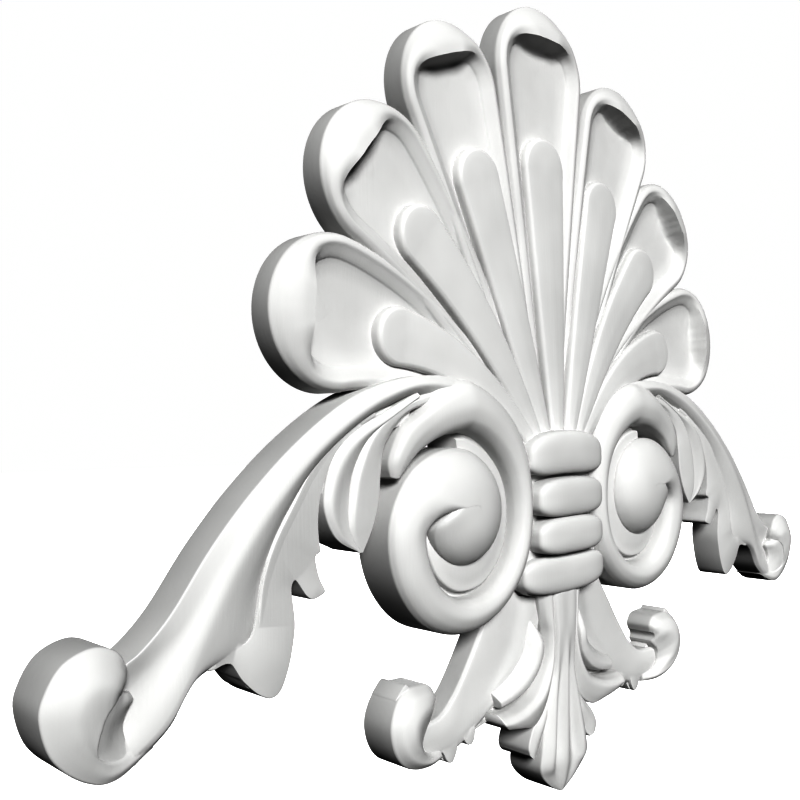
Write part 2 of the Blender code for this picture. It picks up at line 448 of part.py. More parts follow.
def pendant(forms):
    """Two half leaves turn outwards into scrolls, with fluted lobes and a plume between them."""
    edge = PENDANT_EDGE
    plate("pendant_ground", [
        (0, -44), (22, -45), (27, -53), (31.4, -60.4), (37, -68.4), (41.4, -73.4), (46.6, -76.8), (51, -77.4),
        (55, -72), (60, -72), (62.4, -77), (58, -83.6), (50, -85.8), (47, -86.6), (44.4, -88.4), (42, -88.8),
        (40.6, -87.4), (39.6, -86), (37.6, -85.4), (36.2, -86), (34.4, -85.6), (33.2, -83.8), (28, -82.6),
        (20, -82), (12, -84), (10, -94), (0, -98)], edge + 0.2, forms)
    strip("pendant_arm", (
        [(22, -46, edge), (26, -52, edge), (30, -57.6, edge), (33.4, -62.6, edge), (38, -69, edge),
         (41.4, -72.8, edge), (46.5, -76.4, edge + 0.2), (52, -77.6, edge + 1)],
        [(20.6, -46.8, edge + 1.6), (24.7, -52.8, edge + 1.6), (28.7, -58.5, edge + 1.6),
         (32, -63.6, edge + 1.6),
         (36.7, -70.2, edge + 1.6), (40.4, -74.2, edge + 1.7), (45.9, -77.9, edge + 1.8),
         (52, -79, edge + 2)],
        [(17, -48, edge + 2), (20.4, -54.6, edge + 1.7), (24, -61, edge + 1.5), (28, -67, edge + 1.4),
         (33.4, -73.6, edge + 1.4), (38, -77.4, edge + 1.5), (45, -80.8, edge + 1.7), (52, -81, edge + 1.8)],
        [(14.4, -50, edge + 3), (15.4, -56, edge + 3.2), (17.8, -62, edge + 3.1), (21.6, -67.4, edge + 2.6),
         (28, -74.4, edge + 1.4), (34.4, -79.6, edge + 1.3), (43, -83.4, edge + 1.5), (51, -83, edge + 1.6)],
        [(12.4, -52.6, edge + 4.2), (11.8, -57, edge + 4.8), (13.4, -62, edge + 4.6),
         (17.8, -66.8, edge + 3.8),
         (24.4, -71.8, edge + 2.2), (31.6, -80.8, edge + 0.9), (41, -85.6, edge + 1),
         (50, -85.6, edge + 1.2)],
        [(11.4, -53.6, edge), (10.8, -57.4, edge), (12.4, -63, edge), (17, -68, edge), (23.6, -73, edge),
         (30.6, -82, edge), (40.6, -86.4, edge), (49.6, -86.4, edge)],
    ), forms)
    for name, places in (("pendant_tab_near", ((44.6, -84), (43.4, -87), (42.2, -88.6))),
                         ("pendant_tab_far", ((37, -82), (36, -84.4), (35.2, -85.9)))):
        strip(name, (
            [(x + 2.6 - 0.8 * k, z + 0.4 * k, edge + 0.4) for k, (x, z) in enumerate(places)],
            [(x, z, edge + 1.5 - 0.2 * k) for k, (x, z) in enumerate(places)],
            [(x - 2.4 + 0.8 * k, z - 0.2 * k, edge + 0.4) for k, (x, z) in enumerate(places)],
        ), forms)
    strip("pendant_scroll", (
        [(50.8, -71.6, edge + 2.2), (50.2, -69.2, edge + 2.4), (52.2, -66.8, edge + 2.5),
         (56, -66.2, edge + 2.6),
         (60.2, -66.4, edge + 2.8), (64, -69, edge + 3.4), (66.2, -74, edge + 3.8), (65.4, -79.4, edge + 3.8),
         (62.4, -83.8, edge + 3.6), (57.6, -86.2, edge + 3.2), (52, -87, edge + 2.6),
         (46.6, -86.8, edge + 1.4)],
        [(51.4, -72, edge + 3.4), (51.4, -70.2, edge + 4.2), (53.4, -68.8, edge + 4.8),
         (56.4, -68.4, edge + 5.2),
         (59.6, -69, edge + 5.6), (62, -71.2, edge + 6), (63.2, -74.8, edge + 6.1), (62.6, -78.8, edge + 6),
         (60.4, -82, edge + 5.6), (56.8, -84.4, edge + 4.8), (52, -85.8, edge + 3.6),
         (46.8, -86, edge + 1.8)],
        [(52, -73.2, edge + 3.4), (52.8, -72.2, edge + 4.8), (54.6, -71.6, edge + 5.8),
         (56.8, -71.6, edge + 6.4),
         (58.8, -72.6, edge + 6.7), (60.2, -74.2, edge + 6.8), (60.6, -76.4, edge + 6.7),
         (60, -78.8, edge + 6.3),
         (58.2, -81.2, edge + 5.6), (55.2, -83.6, edge + 4.4), (51.2, -85, edge + 2.8),
         (47, -85.2, edge + 1.6)],
        [(51.4, -74.6, edge + 2), (51.8, -75.4, edge + 2.6), (52.6, -76.2, edge + 3), (53.4, -77, edge + 3.2),
         (54, -78, edge + 3.2), (54.3, -79, edge + 3), (54.4, -80, edge + 2.8), (54.4, -81, edge + 2.6),
         (54, -82.2, edge + 2.4), (52.8, -83.4, edge + 2), (50.4, -84.2, edge + 1.6),
         (47.2, -84.4, edge + 1.2)],
    ), forms)
    plate("pendant_spike", [(58.6, -67.4), (59.4, -65.2), (60.4, -65.2), (62.2, -66.6), (64.6, -69),
    (62, -71)],
          edge + 3, forms)
    strip("pendant_upper_lobe", (
        [(11.4, -52, edge + 2.6), (10.4, -57.4, edge + 2.4), (12, -63, edge + 2.4), (16.4, -68, edge + 2.4),
         (21.4, -71.4, edge + 2.4), (26.6, -73.8, edge + 2.2)],
        [(10.2, -52, edge + 5), (9.4, -58.4, edge + 4.6), (11, -64.8, edge + 4.4), (15.4, -70, edge + 4.2),
         (20.6, -73.2, edge + 3.8), (26.8, -75.2, edge + 3.2)],
        [(9, -52, edge + 6), (8.6, -59.4, edge + 5.8), (10.2, -67, edge + 5.6), (14.4, -72.4, edge + 5.2),
         (19.2, -75.4, edge + 4.6), (25.4, -76.8, edge + 3.8)],
        [(7.8, -52, edge + 5), (7.6, -60.4, edge + 5), (9, -68.4, edge + 5), (13, -74, edge + 4.6),
         (17.6, -77.4, edge + 4), (23.4, -78.4, edge + 3.4)],
    ), forms)
    strip("pendant_lower_lobe", (
        [(9.4, -54, edge + 4.6), (9.6, -61, edge + 5), (11.4, -67.4, edge + 5.4), (15, -72.4, edge + 5.8),
         (19.2, -75.6, edge + 6.2), (23.6, -77, edge + 6.6), (28.2, -77.7, edge + 6.4)],
        [(8, -54, edge + 6.6), (8.6, -62.6, edge + 6.8), (10.4, -70, edge + 7), (13.8, -75.2, edge + 7.2),
         (18.2, -78.4, edge + 7.4), (22.8, -79.8, edge + 7.5), (28, -80, edge + 7.2)],
        [(6.4, -56, edge + 6.4), (7, -64.6, edge + 6.2), (8.8, -72.6, edge + 6.4), (11.8, -78.4, edge + 6.7),
         (16, -81.8, edge + 7), (21, -82.6, edge + 7.2), (27.2, -82, edge + 7)],
        [(4.4, -58, edge + 4.2), (5.4, -67, edge + 4.2), (7, -75.6, edge + 4.4), (9.4, -81.6, edge + 4.8),
         (13.6, -85.6, edge + 5.4), (19.4, -84.8, edge + 6.4), (26, -83.4, edge + 6.6)],
    ), forms)
    strip("pendant_side_lobe", (
        [(7, -78, edge + 3.6), (10.6, -83.4, edge + 4.2), (14.4, -87.8, edge + 4.8), (16, -91.2, edge + 5),
         (15.6, -93.4, edge + 5)],
        [(5.6, -79, edge + 4.6), (9, -85, edge + 5.4), (12.2, -89.6, edge + 5.4), (14, -92.4, edge + 5.4),
         (14.6, -94.4, edge + 5.2)],
        [(4, -80, edge + 4), (7, -86.6, edge + 4.2), (9.8, -91.2, edge + 4.2), (11.6, -94, edge + 4.4),
         (13, -95.2, edge + 4.8)],
    ), forms)
    strip("pendant_plume", plume_rails(), forms, mirrored=False)


def plume_rails():
    """The plume's lines, from its flat shaft to its tip: edge, side ridge, crease and middle rib.

    Each row holds z, half the width, and the four heights above the pendant's edge.
    """
    rows = ((-46, 12, 3, 6.8, 7.2, 7.2), (-55, 11.6, 3.2, 7, 7.3, 7.2), (-61, 9.6, 3.6, 7, 7.2, 7.2),
            (-67, 7.2, 4, 6.6, 6.8, 7.1), (-73, 5.8, 4.4, 6.3, 6.2, 7), (-80, 7.4, 4.6, 6.4, 5.8, 6.8),
            (-88, 9.2, 5, 6.6, 5.5, 6.6), (-95, 10.6, 5.2, 6.6, 5.4, 6.4), (-99.4, 11, 5, 5.9, 5.4, 6),
            (-102.6, 8.4, 4.4, 4.9, 4.8, 5.3), (-105.6, 4.6, 4, 4.4, 4.4, 4.7),
            (-107.4, 0.8, 3.8, 3.9, 4, 4.1))
    rails = []
    for share, column in ((-1.0, 2), (-0.66, 3), (-0.35, 4), (0.0, 5), (0.35, 4), (0.66, 3), (1.0, 2)):
        rails.append([(row[1] * share, row[0], PENDANT_EDGE + row[column]) for row in rows])
    return rails


def painted_wood():
    material = bpy.data.materials.new("painted_wood")
    material.use_nodes = True
    shader = material.node_tree.nodes["Principled BSDF"]
    shader.inputs["Base Color"].default_value = (0.78, 0.78, 0.77, 1.0)
    shader.inputs["Roughness"].default_value = 0.6
    shader.inputs["Metallic"].default_value = 0.0
    return material


def joined(onlay_collection, forms, cutters):
    """All the forms united, with the back cut flat."""
    bm = bmesh.new()
    bmesh.ops.create_cube(bm, size=2.0)
    bmesh.ops.scale(bm, verts=bm.verts, vec=(CORE_HALF * ACROSS, CORE_HEIGHT * DEEP, CORE_HALF * ACROSS))
    onlay = new_object("carved_onlay", bm, onlay_collection)
    onlay.data.materials.append(painted_wood())
    union = onlay.modifiers.new("forms", "BOOLEAN")
    union.operation = "UNION"
    union.operand_type = "COLLECTION"
    union.collection = forms
    union.solver = "MANIFOLD"
    bm = bmesh.new()
    bmesh.ops.create_cube(bm, size=2.0)
    bmesh.ops.scale(bm, verts=bm.verts, vec=(WALL_HALF * ACROSS, WALL_DEPTH / 2 * DEEP, WALL_HALF * ACROSS))
    bmesh.ops.translate(bm, verts=bm.verts, vec=(0.0, WALL_DEPTH / 2 * DEEP, 0.0))
    wall = new_object("wall_plane", bm, cutters)
    wall.hide_render = True
    wall.display_type = "WIRE"
    cut = onlay.modifiers.new("flat back", "BOOLEAN")
    cut.operation = "DIFFERENCE"
    cut.object = wall
    cut.solver = "EXACT"
    return onlay


def main():
    for obj in list(bpy.data.objects):
        bpy.data.objects.remove(obj)
    scene = bpy.context.scene
    onlay_collection = bpy.data.collections.new("carved_wood_onlay")
    forms = bpy.data.collections.new("forms")
    cutters = bpy.data.collections.new("cutters")
    for collection in (onlay_collection, forms, cutters):
        scene.collection.children.link(collection)
    for number, spine in enumerate(LOBES):
        shell_lobe(number, spine, forms)
    shell_ground(forms)
    for number, spine in enumerate(TONGUES):
        tongue(number, spine, forms)
    volute(forms)
    side_arm(forms)
    end_scroll(forms)
    band(forms)
    pendant(forms)
    joined(onlay_collection, forms, cutters)


main()
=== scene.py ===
"""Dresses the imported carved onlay: fine relief, painted wood, a plain stage and the photograph's view.

The relief is drawn in millimetres: x across the face, z up and h, the height above the flat
back. A form is a grid of (x, z, h) between lines that a carver would mark out, and all forms
are united into one piece with a flat back.
"""
import json

import bpy
import bmesh
import numpy as np
from mathutils import Matrix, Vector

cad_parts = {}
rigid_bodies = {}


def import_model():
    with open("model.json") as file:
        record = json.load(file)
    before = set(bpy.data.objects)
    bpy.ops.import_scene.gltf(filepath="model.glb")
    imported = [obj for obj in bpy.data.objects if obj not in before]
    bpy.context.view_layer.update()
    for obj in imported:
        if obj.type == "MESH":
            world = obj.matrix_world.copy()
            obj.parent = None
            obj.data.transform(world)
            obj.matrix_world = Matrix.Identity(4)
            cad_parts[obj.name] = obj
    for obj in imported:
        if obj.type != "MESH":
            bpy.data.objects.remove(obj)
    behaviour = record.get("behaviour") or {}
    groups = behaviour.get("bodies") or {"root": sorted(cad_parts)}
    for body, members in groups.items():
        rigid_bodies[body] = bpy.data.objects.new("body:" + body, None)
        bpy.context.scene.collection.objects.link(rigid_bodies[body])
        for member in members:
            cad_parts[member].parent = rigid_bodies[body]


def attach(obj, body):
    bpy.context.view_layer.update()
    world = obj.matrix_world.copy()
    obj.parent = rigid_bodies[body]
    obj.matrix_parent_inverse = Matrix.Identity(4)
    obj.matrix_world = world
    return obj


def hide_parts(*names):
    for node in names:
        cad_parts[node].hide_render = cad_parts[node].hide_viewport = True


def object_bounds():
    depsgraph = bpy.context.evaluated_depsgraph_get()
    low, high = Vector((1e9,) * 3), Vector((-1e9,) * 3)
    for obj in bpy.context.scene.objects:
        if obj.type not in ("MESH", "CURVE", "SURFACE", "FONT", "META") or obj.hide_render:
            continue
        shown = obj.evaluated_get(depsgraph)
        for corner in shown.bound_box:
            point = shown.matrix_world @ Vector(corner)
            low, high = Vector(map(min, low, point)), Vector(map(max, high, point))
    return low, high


bl_info = {
    "name": "Carved Onlay",
    "version": (1, 0, 0),
    "blender": (4, 5, 0),
    "location": "View3D > Sidebar > Onlay",
    "description": "Makes the fine relief, painted finish and stage of a carved wood onlay",
    "category": "Add Mesh",
}

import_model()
CAD_LOW, CAD_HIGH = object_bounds()

NODE = "carved_onlay"
SLOT = "painted_wood"

# The drawing's own extent, in millimetres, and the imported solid's
DRAWN_HALF_WIDTH = 151.1
DRAWN_DEPTH = 17.2
ACROSS = (CAD_HIGH.x - CAD_LOW.x) / (2 * DRAWN_HALF_WIDTH)
DEEP = -CAD_LOW.y / DRAWN_DEPTH

# Levels of the relief above the back, in drawn millimetres
SHELL_EDGE = 6.2
SHELL_FLOOR_TIP = 5.1
SHELL_FLOOR_BASE = 6.0
SHELL_RIM_TIP = 8.3
SHELL_RIM_BASE = 8.2
LIP_HEIGHT = 10.6
TONGUE_TIP = 8.3
TONGUE_BASE = 11.5
LEAF_EDGE = 9.9
SCROLL_EDGE = 10.6
SCROLL_CREST = 14.4
EYE_CREST = 17.2
EYE_EDGE = 12.4
CHANNEL_FLOOR = 8.6
PENDANT_EDGE = 5.8
BAND_GROUND = 10.6

# Each shell lobe: foot, bend and end centre of its spine, radius of its round end. The tongues,
# the proud bars on the lobes, are given in the same way
LOBES = (
    ((0.0, -14.0), (0.0, 40.0), (0.0, 98.0), 19.5),
    ((5.5, -12.0), (20.0, 36.0), (38.0, 85.0), 18.0),
    ((9.0, -11.0), (30.0, 30.0), (64.0, 58.0), 18.5),
    ((12.0, -10.0), (42.0, 21.0), (79.0, 24.0), 18.6),
)
TONGUES = (
    ((0.0, -12.0), (0.0, 30.0), (0.0, 70.3), 9.2),
    ((4.5, -11.0), (16.0, 26.0), (28.5, 63.0), 8.5),
    ((8.0, -10.0), (26.0, 24.0), (50.5, 45.0), 8.2),
    ((11.0, -9.0), (34.0, 15.5), (59.0, 19.3), 7.6),
)
LOBE_FOOT_HALF = 4.4    # half the width at the foot
TONGUE_FOOT_HALF = 2.2
END_TURN = 100.0    # the round end's arc on each side of its tip, in degrees
RECESS = 2.0        # how far the hollow under a lip reaches down the lobe
# The inner edge of the rim and lip, by the angle from the lobe's tip: its distance in end radii
ARCH = (
    (0, 0.475), (15, 0.49), (28, 0.535), (38, 0.595), (48, 0.68),
    (57, 0.75), (66, 0.795), (80, 0.82), (100, 0.822),
)

# The volute, by the angle from its top towards the middle: roll's outer and inner radius
VOLUTE_CENTRE = (41.0, -25.0)
ROLL = (
    (0.0, 34.2, 20.2), (45.0, 30.4, 19.2), (90.0, 27.0, 19.4), (139.0, 29.2, 21.4),
    (160.0, 30.2, 22.0), (180.0, 30.8, 21.6), (205.0, 30.4, 19.6), (226.0, 29.2, 17.0),
    (245.0, 27.8, 15.0), (258.0, 26.7, 13.8), (267.0, 25.8, 11.4), (276.0, 24.7, 8.6),
    (290.0, 22.8, 5.4), (303.0, 21.2, 3.8), (320.0, 19.2, 2.8), (335.0, 17.8, 2.2),
    (350.0, 16.8, 1.8), (376.0, 15.4, 1.4),
)
# The dome of the eye, by the same angle: radius of its form and where the crease cuts it
EYE = (
    (0.0, 16.2, 16.2), (16.0, 15.4, 15.4), (45.0, 14.4, 14.4), (90.0, 13.6, 13.6),
    (180.0, 13.4, 13.4), (226.0, 13.2, 13.1), (240.0, 13.5, 13.1), (250.0, 14.2, 13.0),
    (258.0, 15.2, 12.6), (266.0, 16.6, 11.2), (276.0, 18.8, 9.2), (290.0, 21.6, 7.7),
    (303.0, 21.2, 5.8), (320.0, 19.2, 4.8), (333.0, 17.9, 4.6), (346.0, 17.0, 15.6),
    (360.0, 16.2, 16.2),
)

SINK = 1.6          # how far each form runs past the back before the back is cut flat
SINK_STEP = 0.01    # and how much further each later form runs
EASE = 0.35         # radius of the eased edges
ALONG_STEPS = 8     # steps between two points along a drawn line
ACROSS_STEPS = 6    # steps between two lines
PROFILE_STEPS = 4   # steps between two lines of the shell's and the volute's profiles
OUTLINE_STEPS = 6   # steps between two points of a ground's outline
CURVE_STEPS = 24    # steps between two points of a curve before it is spaced evenly
MERGE = 0.000002    # points of one form this close are one point, in metres
SHARP_ANGLE = 38.0  # faces that meet at more degrees than this keep a crisp edge

# The block inside the carving that the forms are joined to, and the wall that cuts the back flat
CORE_HALF = 15.0 * ACROSS
CORE_DEPTH = 0.004
WALL_WIDTH = 1.0
WALL_DEPTH = 0.02


def points(rows):
    """The rows as one array of numbers."""
    return np.array(rows, dtype=float)


def drawn(rows, per_gap):
    """A smooth curve through the given points, with the same number of steps between any two.

    Between two neighbours the curve is the cubic whose slope at each point is half the
    step from the point before it to the point after it.
    """
    p = points(rows)
    ends = np.vstack([2 * p[0] - p[1], p, 2 * p[-1] - p[-2]])
    t = np.linspace(0.0, 1.0, per_gap, endpoint=False)[None, :, None]
    a, b, c, d = (ends[k:len(p) - 1 + k][:, None, :] for k in range(4))
    bent = (2 * a - 5 * b + 4 * c - d) * t**2 + (3 * b - a - 3 * c + d) * t**3
    fine = 0.5 * (2 * b + (c - a) * t + bent)
    return np.vstack([fine.reshape(-1, p.shape[1]), p[-1:]])


def through(rows, count):
    """Evenly spaced points on the smooth curve that drawn lays through the given ones."""
    fine = drawn(rows, CURVE_STEPS)
    step = np.linalg.norm(np.diff(fine[:, :2], axis=0), axis=1)
    along = np.concatenate([[0.0], np.cumsum(step)])
    want = np.linspace(0.0, along[-1], count)
    return np.stack([np.interp(want, along, column) for column in fine.T], axis=1)


def smoothed(xs, ys, want):
    """A smooth function through the pairs (xs, ys) that never overshoots them.

    Between two pairs it is a cubic; its slope at a pair is the harmonic mean of the slopes
    on both sides, or zero where they differ in sign.
    """
    xs, ys = points(xs), points(ys)
    slope = np.diff(ys) / np.diff(xs)
    left, right = slope[:-1], slope[1:]
    same = left * right > 0
    inner = np.where(same, 2 * left * right / np.where(same, left + right, 1.0), 0.0)
    slopes = np.concatenate([slope[:1], inner, slope[-1:]])
    k = np.clip(np.searchsorted(xs, want, side="right") - 1, 0, len(xs) - 2)
    span = xs[k + 1] - xs[k]
    t = np.clip((want - xs[k]) / span, 0.0, 1.0)
    return ((2 * t**3 - 3 * t**2 + 1) * ys[k] + (t**3 - 2 * t**2 + t) * span * slopes[k]
            + (3 * t**2 - 2 * t**3) * ys[k + 1] + (t**3 - t**2) * span * slopes[k + 1])


def spread(rails, per_gap, sharp=()):
    """A surface between rails of like length: rails[k, i] is point i of rail k.

    Across the rails it is a chain of cubics, one to a gap. On the face, the slope at a rail is
    the mean of the two neighbouring directions, weighted by the other one's length. The
    height's slope is the harmonic mean of the two, or zero at a crest or a valley, so the
    surface never rises past its rails. A sharp rail keeps both slopes.
    """
    rails = points(rails)
    step = np.diff(rails, axis=0)
    reach = np.maximum(np.linalg.norm(step[..., :2], axis=-1, keepdims=True), 1e-6)
    slope = step / reach
    left, right = slope[:-1], slope[1:]
    flat = (left * reach[1:] + right * reach[:-1]) / (reach[1:] + reach[:-1])
    same = left * right > 0
    rise = np.where(same, 2 * left * right / np.where(same, left + right, 1.0), 0.0)
    inner = np.concatenate([flat[..., :2], rise[..., 2:]], axis=-1)
    before = np.concatenate([step[:1], inner * reach[:-1], step[-1:]])
    after = np.concatenate([step[:1], inner * reach[1:], step[-1:]])
    for k in sharp:
        before[k] = step[k - 1]
        after[k] = step[k]
    t = np.linspace(0.0, 1.0, per_gap, endpoint=False)[None, :, None, None]
    a, b = rails[:-1, None], rails[1:, None]
    fine = ((2 * t**3 - 3 * t**2 + 1) * a + (t**3 - 2 * t**2 + t) * after[:-1, None]
            + (3 * t**2 - 2 * t**3) * b + (t**3 - t**2) * before[1:, None])
    fine = fine.reshape(-1, *rails.shape[1:])
    return np.concatenate([fine, rails[-1:]]).transpose(1, 0, 2)


def eased_edge(grid, ease=EASE):
    """Rounds the surface over at its first column by a quarter circle of the given radius."""
    turn = np.radians([0.0, 30.0, 60.0, 90.0])
    way = grid[:, 1, :2] - grid[:, 0, :2]
    room = np.linalg.norm(way, axis=1, keepdims=True)
    reach = np.minimum(ease, 0.8 * room)
    way = way / np.maximum(room, 1e-9) * reach
    drop = np.minimum(ease, 5 * reach)
    rows = []
    for a in turn:
        flat = grid[:, 0, :2] + way * (1 - np.cos(a))
        rise = (grid[:, 1, 2:] - grid[:, 0, 2:]) * (1 - np.cos(a)) * reach / np.maximum(room, 1e-9)
        rows.append(np.concatenate([flat, grid[:, 0, 2:] + rise - drop * (1 - np.sin(a))], axis=1))
    return np.concatenate([np.stack(rows, axis=1), grid[:, 1:]], axis=1)


def eased(grid, first=True, last=True, head=False, tail=False):
    """Eases the named sides of a grid: its first and last column, its first and last row."""
    if first:
        grid = eased_edge(grid)
    if last:
        grid = eased_edge(grid[:, ::-1])[:, ::-1]
    if head:
        grid = eased_edge(grid.transpose(1, 0, 2)).transpose(1, 0, 2)
    if tail:
        grid = eased_edge(grid.transpose(1, 0, 2)[:, ::-1])[:, ::-1].transpose(1, 0, 2)
    return grid


def closed_form(name, verts, faces, forms, mirrored):
    """Puts a closed form into the collection, and its mirror image where it has one."""
    for side in ((1.0, -1.0) if mirrored else (1.0,)):
        mesh = bpy.data.meshes.new(name)
        mesh.from_pydata(verts * (side, 1.0, 1.0), [], faces)
        bm = bmesh.new()
        bm.from_mesh(mesh)
        bmesh.ops.remove_doubles(bm, verts=bm.verts, dist=MERGE)
        bmesh.ops.triangulate(bm, faces=[face for face in bm.faces if len(face.verts) > 4])
        bmesh.ops.recalc_face_normals(bm, faces=bm.faces)
        bm.to_mesh(mesh)
        bm.free()
        forms.objects.link(bpy.data.objects.new(name, mesh))


def solid(name, grid, forms, closed_rows=False, inner_wall=True, mirrored=True):
    """A closed form: the grid is its front, the same grid at one depth its back, and walls join them.

    closed_rows says that the last row meets the first. inner_wall is False where the last
    column is a pole or a seam on itself, which the merge then closes.
    """
    rows, columns = grid.shape[:2]
    back = (SINK + SINK_STEP * len(forms.objects)) * DEEP
    x, z, h = grid[..., 0], grid[..., 1], grid[..., 2]
    front_points = np.stack([x * ACROSS, -h * DEEP, z * ACROSS], axis=-1)
    back_points = front_points.copy()
    back_points[..., 1] = back
    verts = np.concatenate([front_points.reshape(-1, 3), back_points.reshape(-1, 3)])
    number = np.arange(rows * columns).reshape(rows, columns)
    if closed_rows:
        number = np.vstack([number, number[:1]])

    def quads(a, b, c, d):
        return np.stack([a.ravel(), b.ravel(), c.ravel(), d.ravel()], axis=1)

    faces = [quads(number[:-1, :-1], number[1:, :-1], number[1:, 1:], number[:-1, 1:])]
    faces.append(faces[0][:, ::-1] + rows * columns)
    edges = [number[:, 0]]
    if inner_wall:
        edges.append(number[::-1, -1])
    if not closed_rows:
        edges += [number[0, ::-1], number[-1]]
    for edge in edges:
        a, b = edge[:-1], edge[1:]
        faces.append(quads(b, a, a + rows * columns, b + rows * columns))
    closed_form(name, verts, np.concatenate(faces).tolist(), forms, mirrored)


def strip(name, rails, forms, level=0.0, head=False, tail=False, mirrored=True):
    """A form between drawn lines that run from its foot to its tip, with heights over a level.

    Point k of each line lies across from point k of the others.
    """
    lines = np.stack([drawn(rail, ALONG_STEPS) for rail in rails])
    lines[..., 2] += level
    grid = spread(lines, ACROSS_STEPS)
    solid(name, eased(grid, head=head, tail=tail), forms, mirrored=mirrored)


def plate(name, outline, height, forms, mirrored=True):
    """A flat ground: a smooth closed outline at one height, its edge eased, with walls to the back."""
    loop = points(outline)
    two = 2 * OUTLINE_STEPS
    loop = drawn(np.vstack([loop[-2:], loop, loop[:2]]), OUTLINE_STEPS)[two:-OUTLINE_STEPS - 1]
    ahead = np.roll(loop, -1, axis=0) - np.roll(loop, 1, axis=0)
    area = np.sum(loop[:, 0] * np.roll(loop[:, 1], -1) - np.roll(loop[:, 0], -1) * loop[:, 1])
    inward = np.stack([-ahead[:, 1], ahead[:, 0]], axis=1) * np.sign(area)
    inward /= np.maximum(np.linalg.norm(inward, axis=1, keepdims=True), 1e-9)
    count = len(loop)
    back = (SINK + SINK_STEP * len(forms.objects)) * DEEP
    rings = []
    for turn in np.radians([0.0, 45.0, 90.0]):
        flat = loop + inward * EASE * (1 - np.cos(turn))
        level = -(height - EASE * (1 - np.sin(turn))) * DEEP
        rings.append(np.column_stack([flat[:, 0] * ACROSS, np.full(count, level), flat[:, 1] * ACROSS]))
    rings.insert(0, np.column_stack([loop[:, 0] * ACROSS, np.full(count, back), loop[:, 1] * ACROSS]))
    verts = np.concatenate(rings)
    here = np.arange(count)
    after = np.roll(here, -1)
    faces = []
    for k in range(len(rings) - 1):
        low, high = k * count, (k + 1) * count
        faces += np.stack([low + here, low + after, high + after, high + here], axis=1).tolist()
    faces.append(here[::-1].tolist())
    faces.append((here + (len(rings) - 1) * count).tolist())
    closed_form(name, verts, faces, forms, mirrored)


def bezier(foot, bend, tip, t):
    """The curve that leaves foot for bend and arrives at tip from bend, and its direction."""
    foot, bend, tip = points(foot), points(bend), points(tip)
    t = points(t)[:, None]
    place = (1 - t)**2 * foot + 2 * t * (1 - t) * bend + t**2 * tip
    slope = 2 * (1 - t) * (bend - foot) + 2 * t * (tip - bend)
    return place, slope / np.linalg.norm(slope, axis=1, keepdims=True)


def teardrop(spine, foot_half, sides, ends, taper):
    """Stations from one foot of a teardrop over its round end to the other foot.

    The sides stand off the spine by a width that grows from foot_half to the end's radius
    with the taper-th power of the way along; the end is an arc of twice END_TURN. The turn
    is the angle from the tip, and it goes on from END_TURN to its double down the sides.
    """
    foot, bend, tip, radius = spine
    tip = points(tip)
    way = bezier(foot, bend, tip, [1.0])[1][0]
    side = np.array([way[1], -way[0]])
    t = np.linspace(0.0, 1.0, sides, endpoint=False)
    length = np.linalg.norm(tip - points(foot))
    lean = np.radians(END_TURN - 90.0)
    place, slope = bezier(foot, bend, tip, t * (1.0 - radius * np.sin(lean) / length))
    normal = np.stack([slope[:, 1], -slope[:, 0]], axis=1)
    half = foot_half + (radius * np.cos(lean) - foot_half) * t**taper
    turns = np.radians(np.linspace(END_TURN, -END_TURN, ends))
    rim = tip + radius * (np.cos(turns)[:, None] * way + np.sin(turns)[:, None] * side)
    outline = np.vstack([place + normal * half[:, None], rim, (place - normal * half[:, None])[::-1]])
    middle = np.vstack([place, np.repeat(tip[None], ends, axis=0), place[::-1]])
    down = END_TURN + END_TURN * (1 - t)
    turn = np.concatenate([down, np.degrees(turns), -down[::-1]])
    width = np.concatenate([half, np.full(ends, radius), half[::-1]])
    return outline, middle, turn, width


def inset(outline, middle, width, insets, heights):
    """Lines at the given insets from the outline towards the spine, as rails."""
    share = np.clip(insets / width[:, None], 0.0, 1.0)
    flat = outline[:, None, :] * (1 - share[:, :, None]) + middle[:, None, :] * share[:, :, None]
    return np.concatenate([flat, heights[:, :, None]], axis=2).transpose(1, 0, 2)


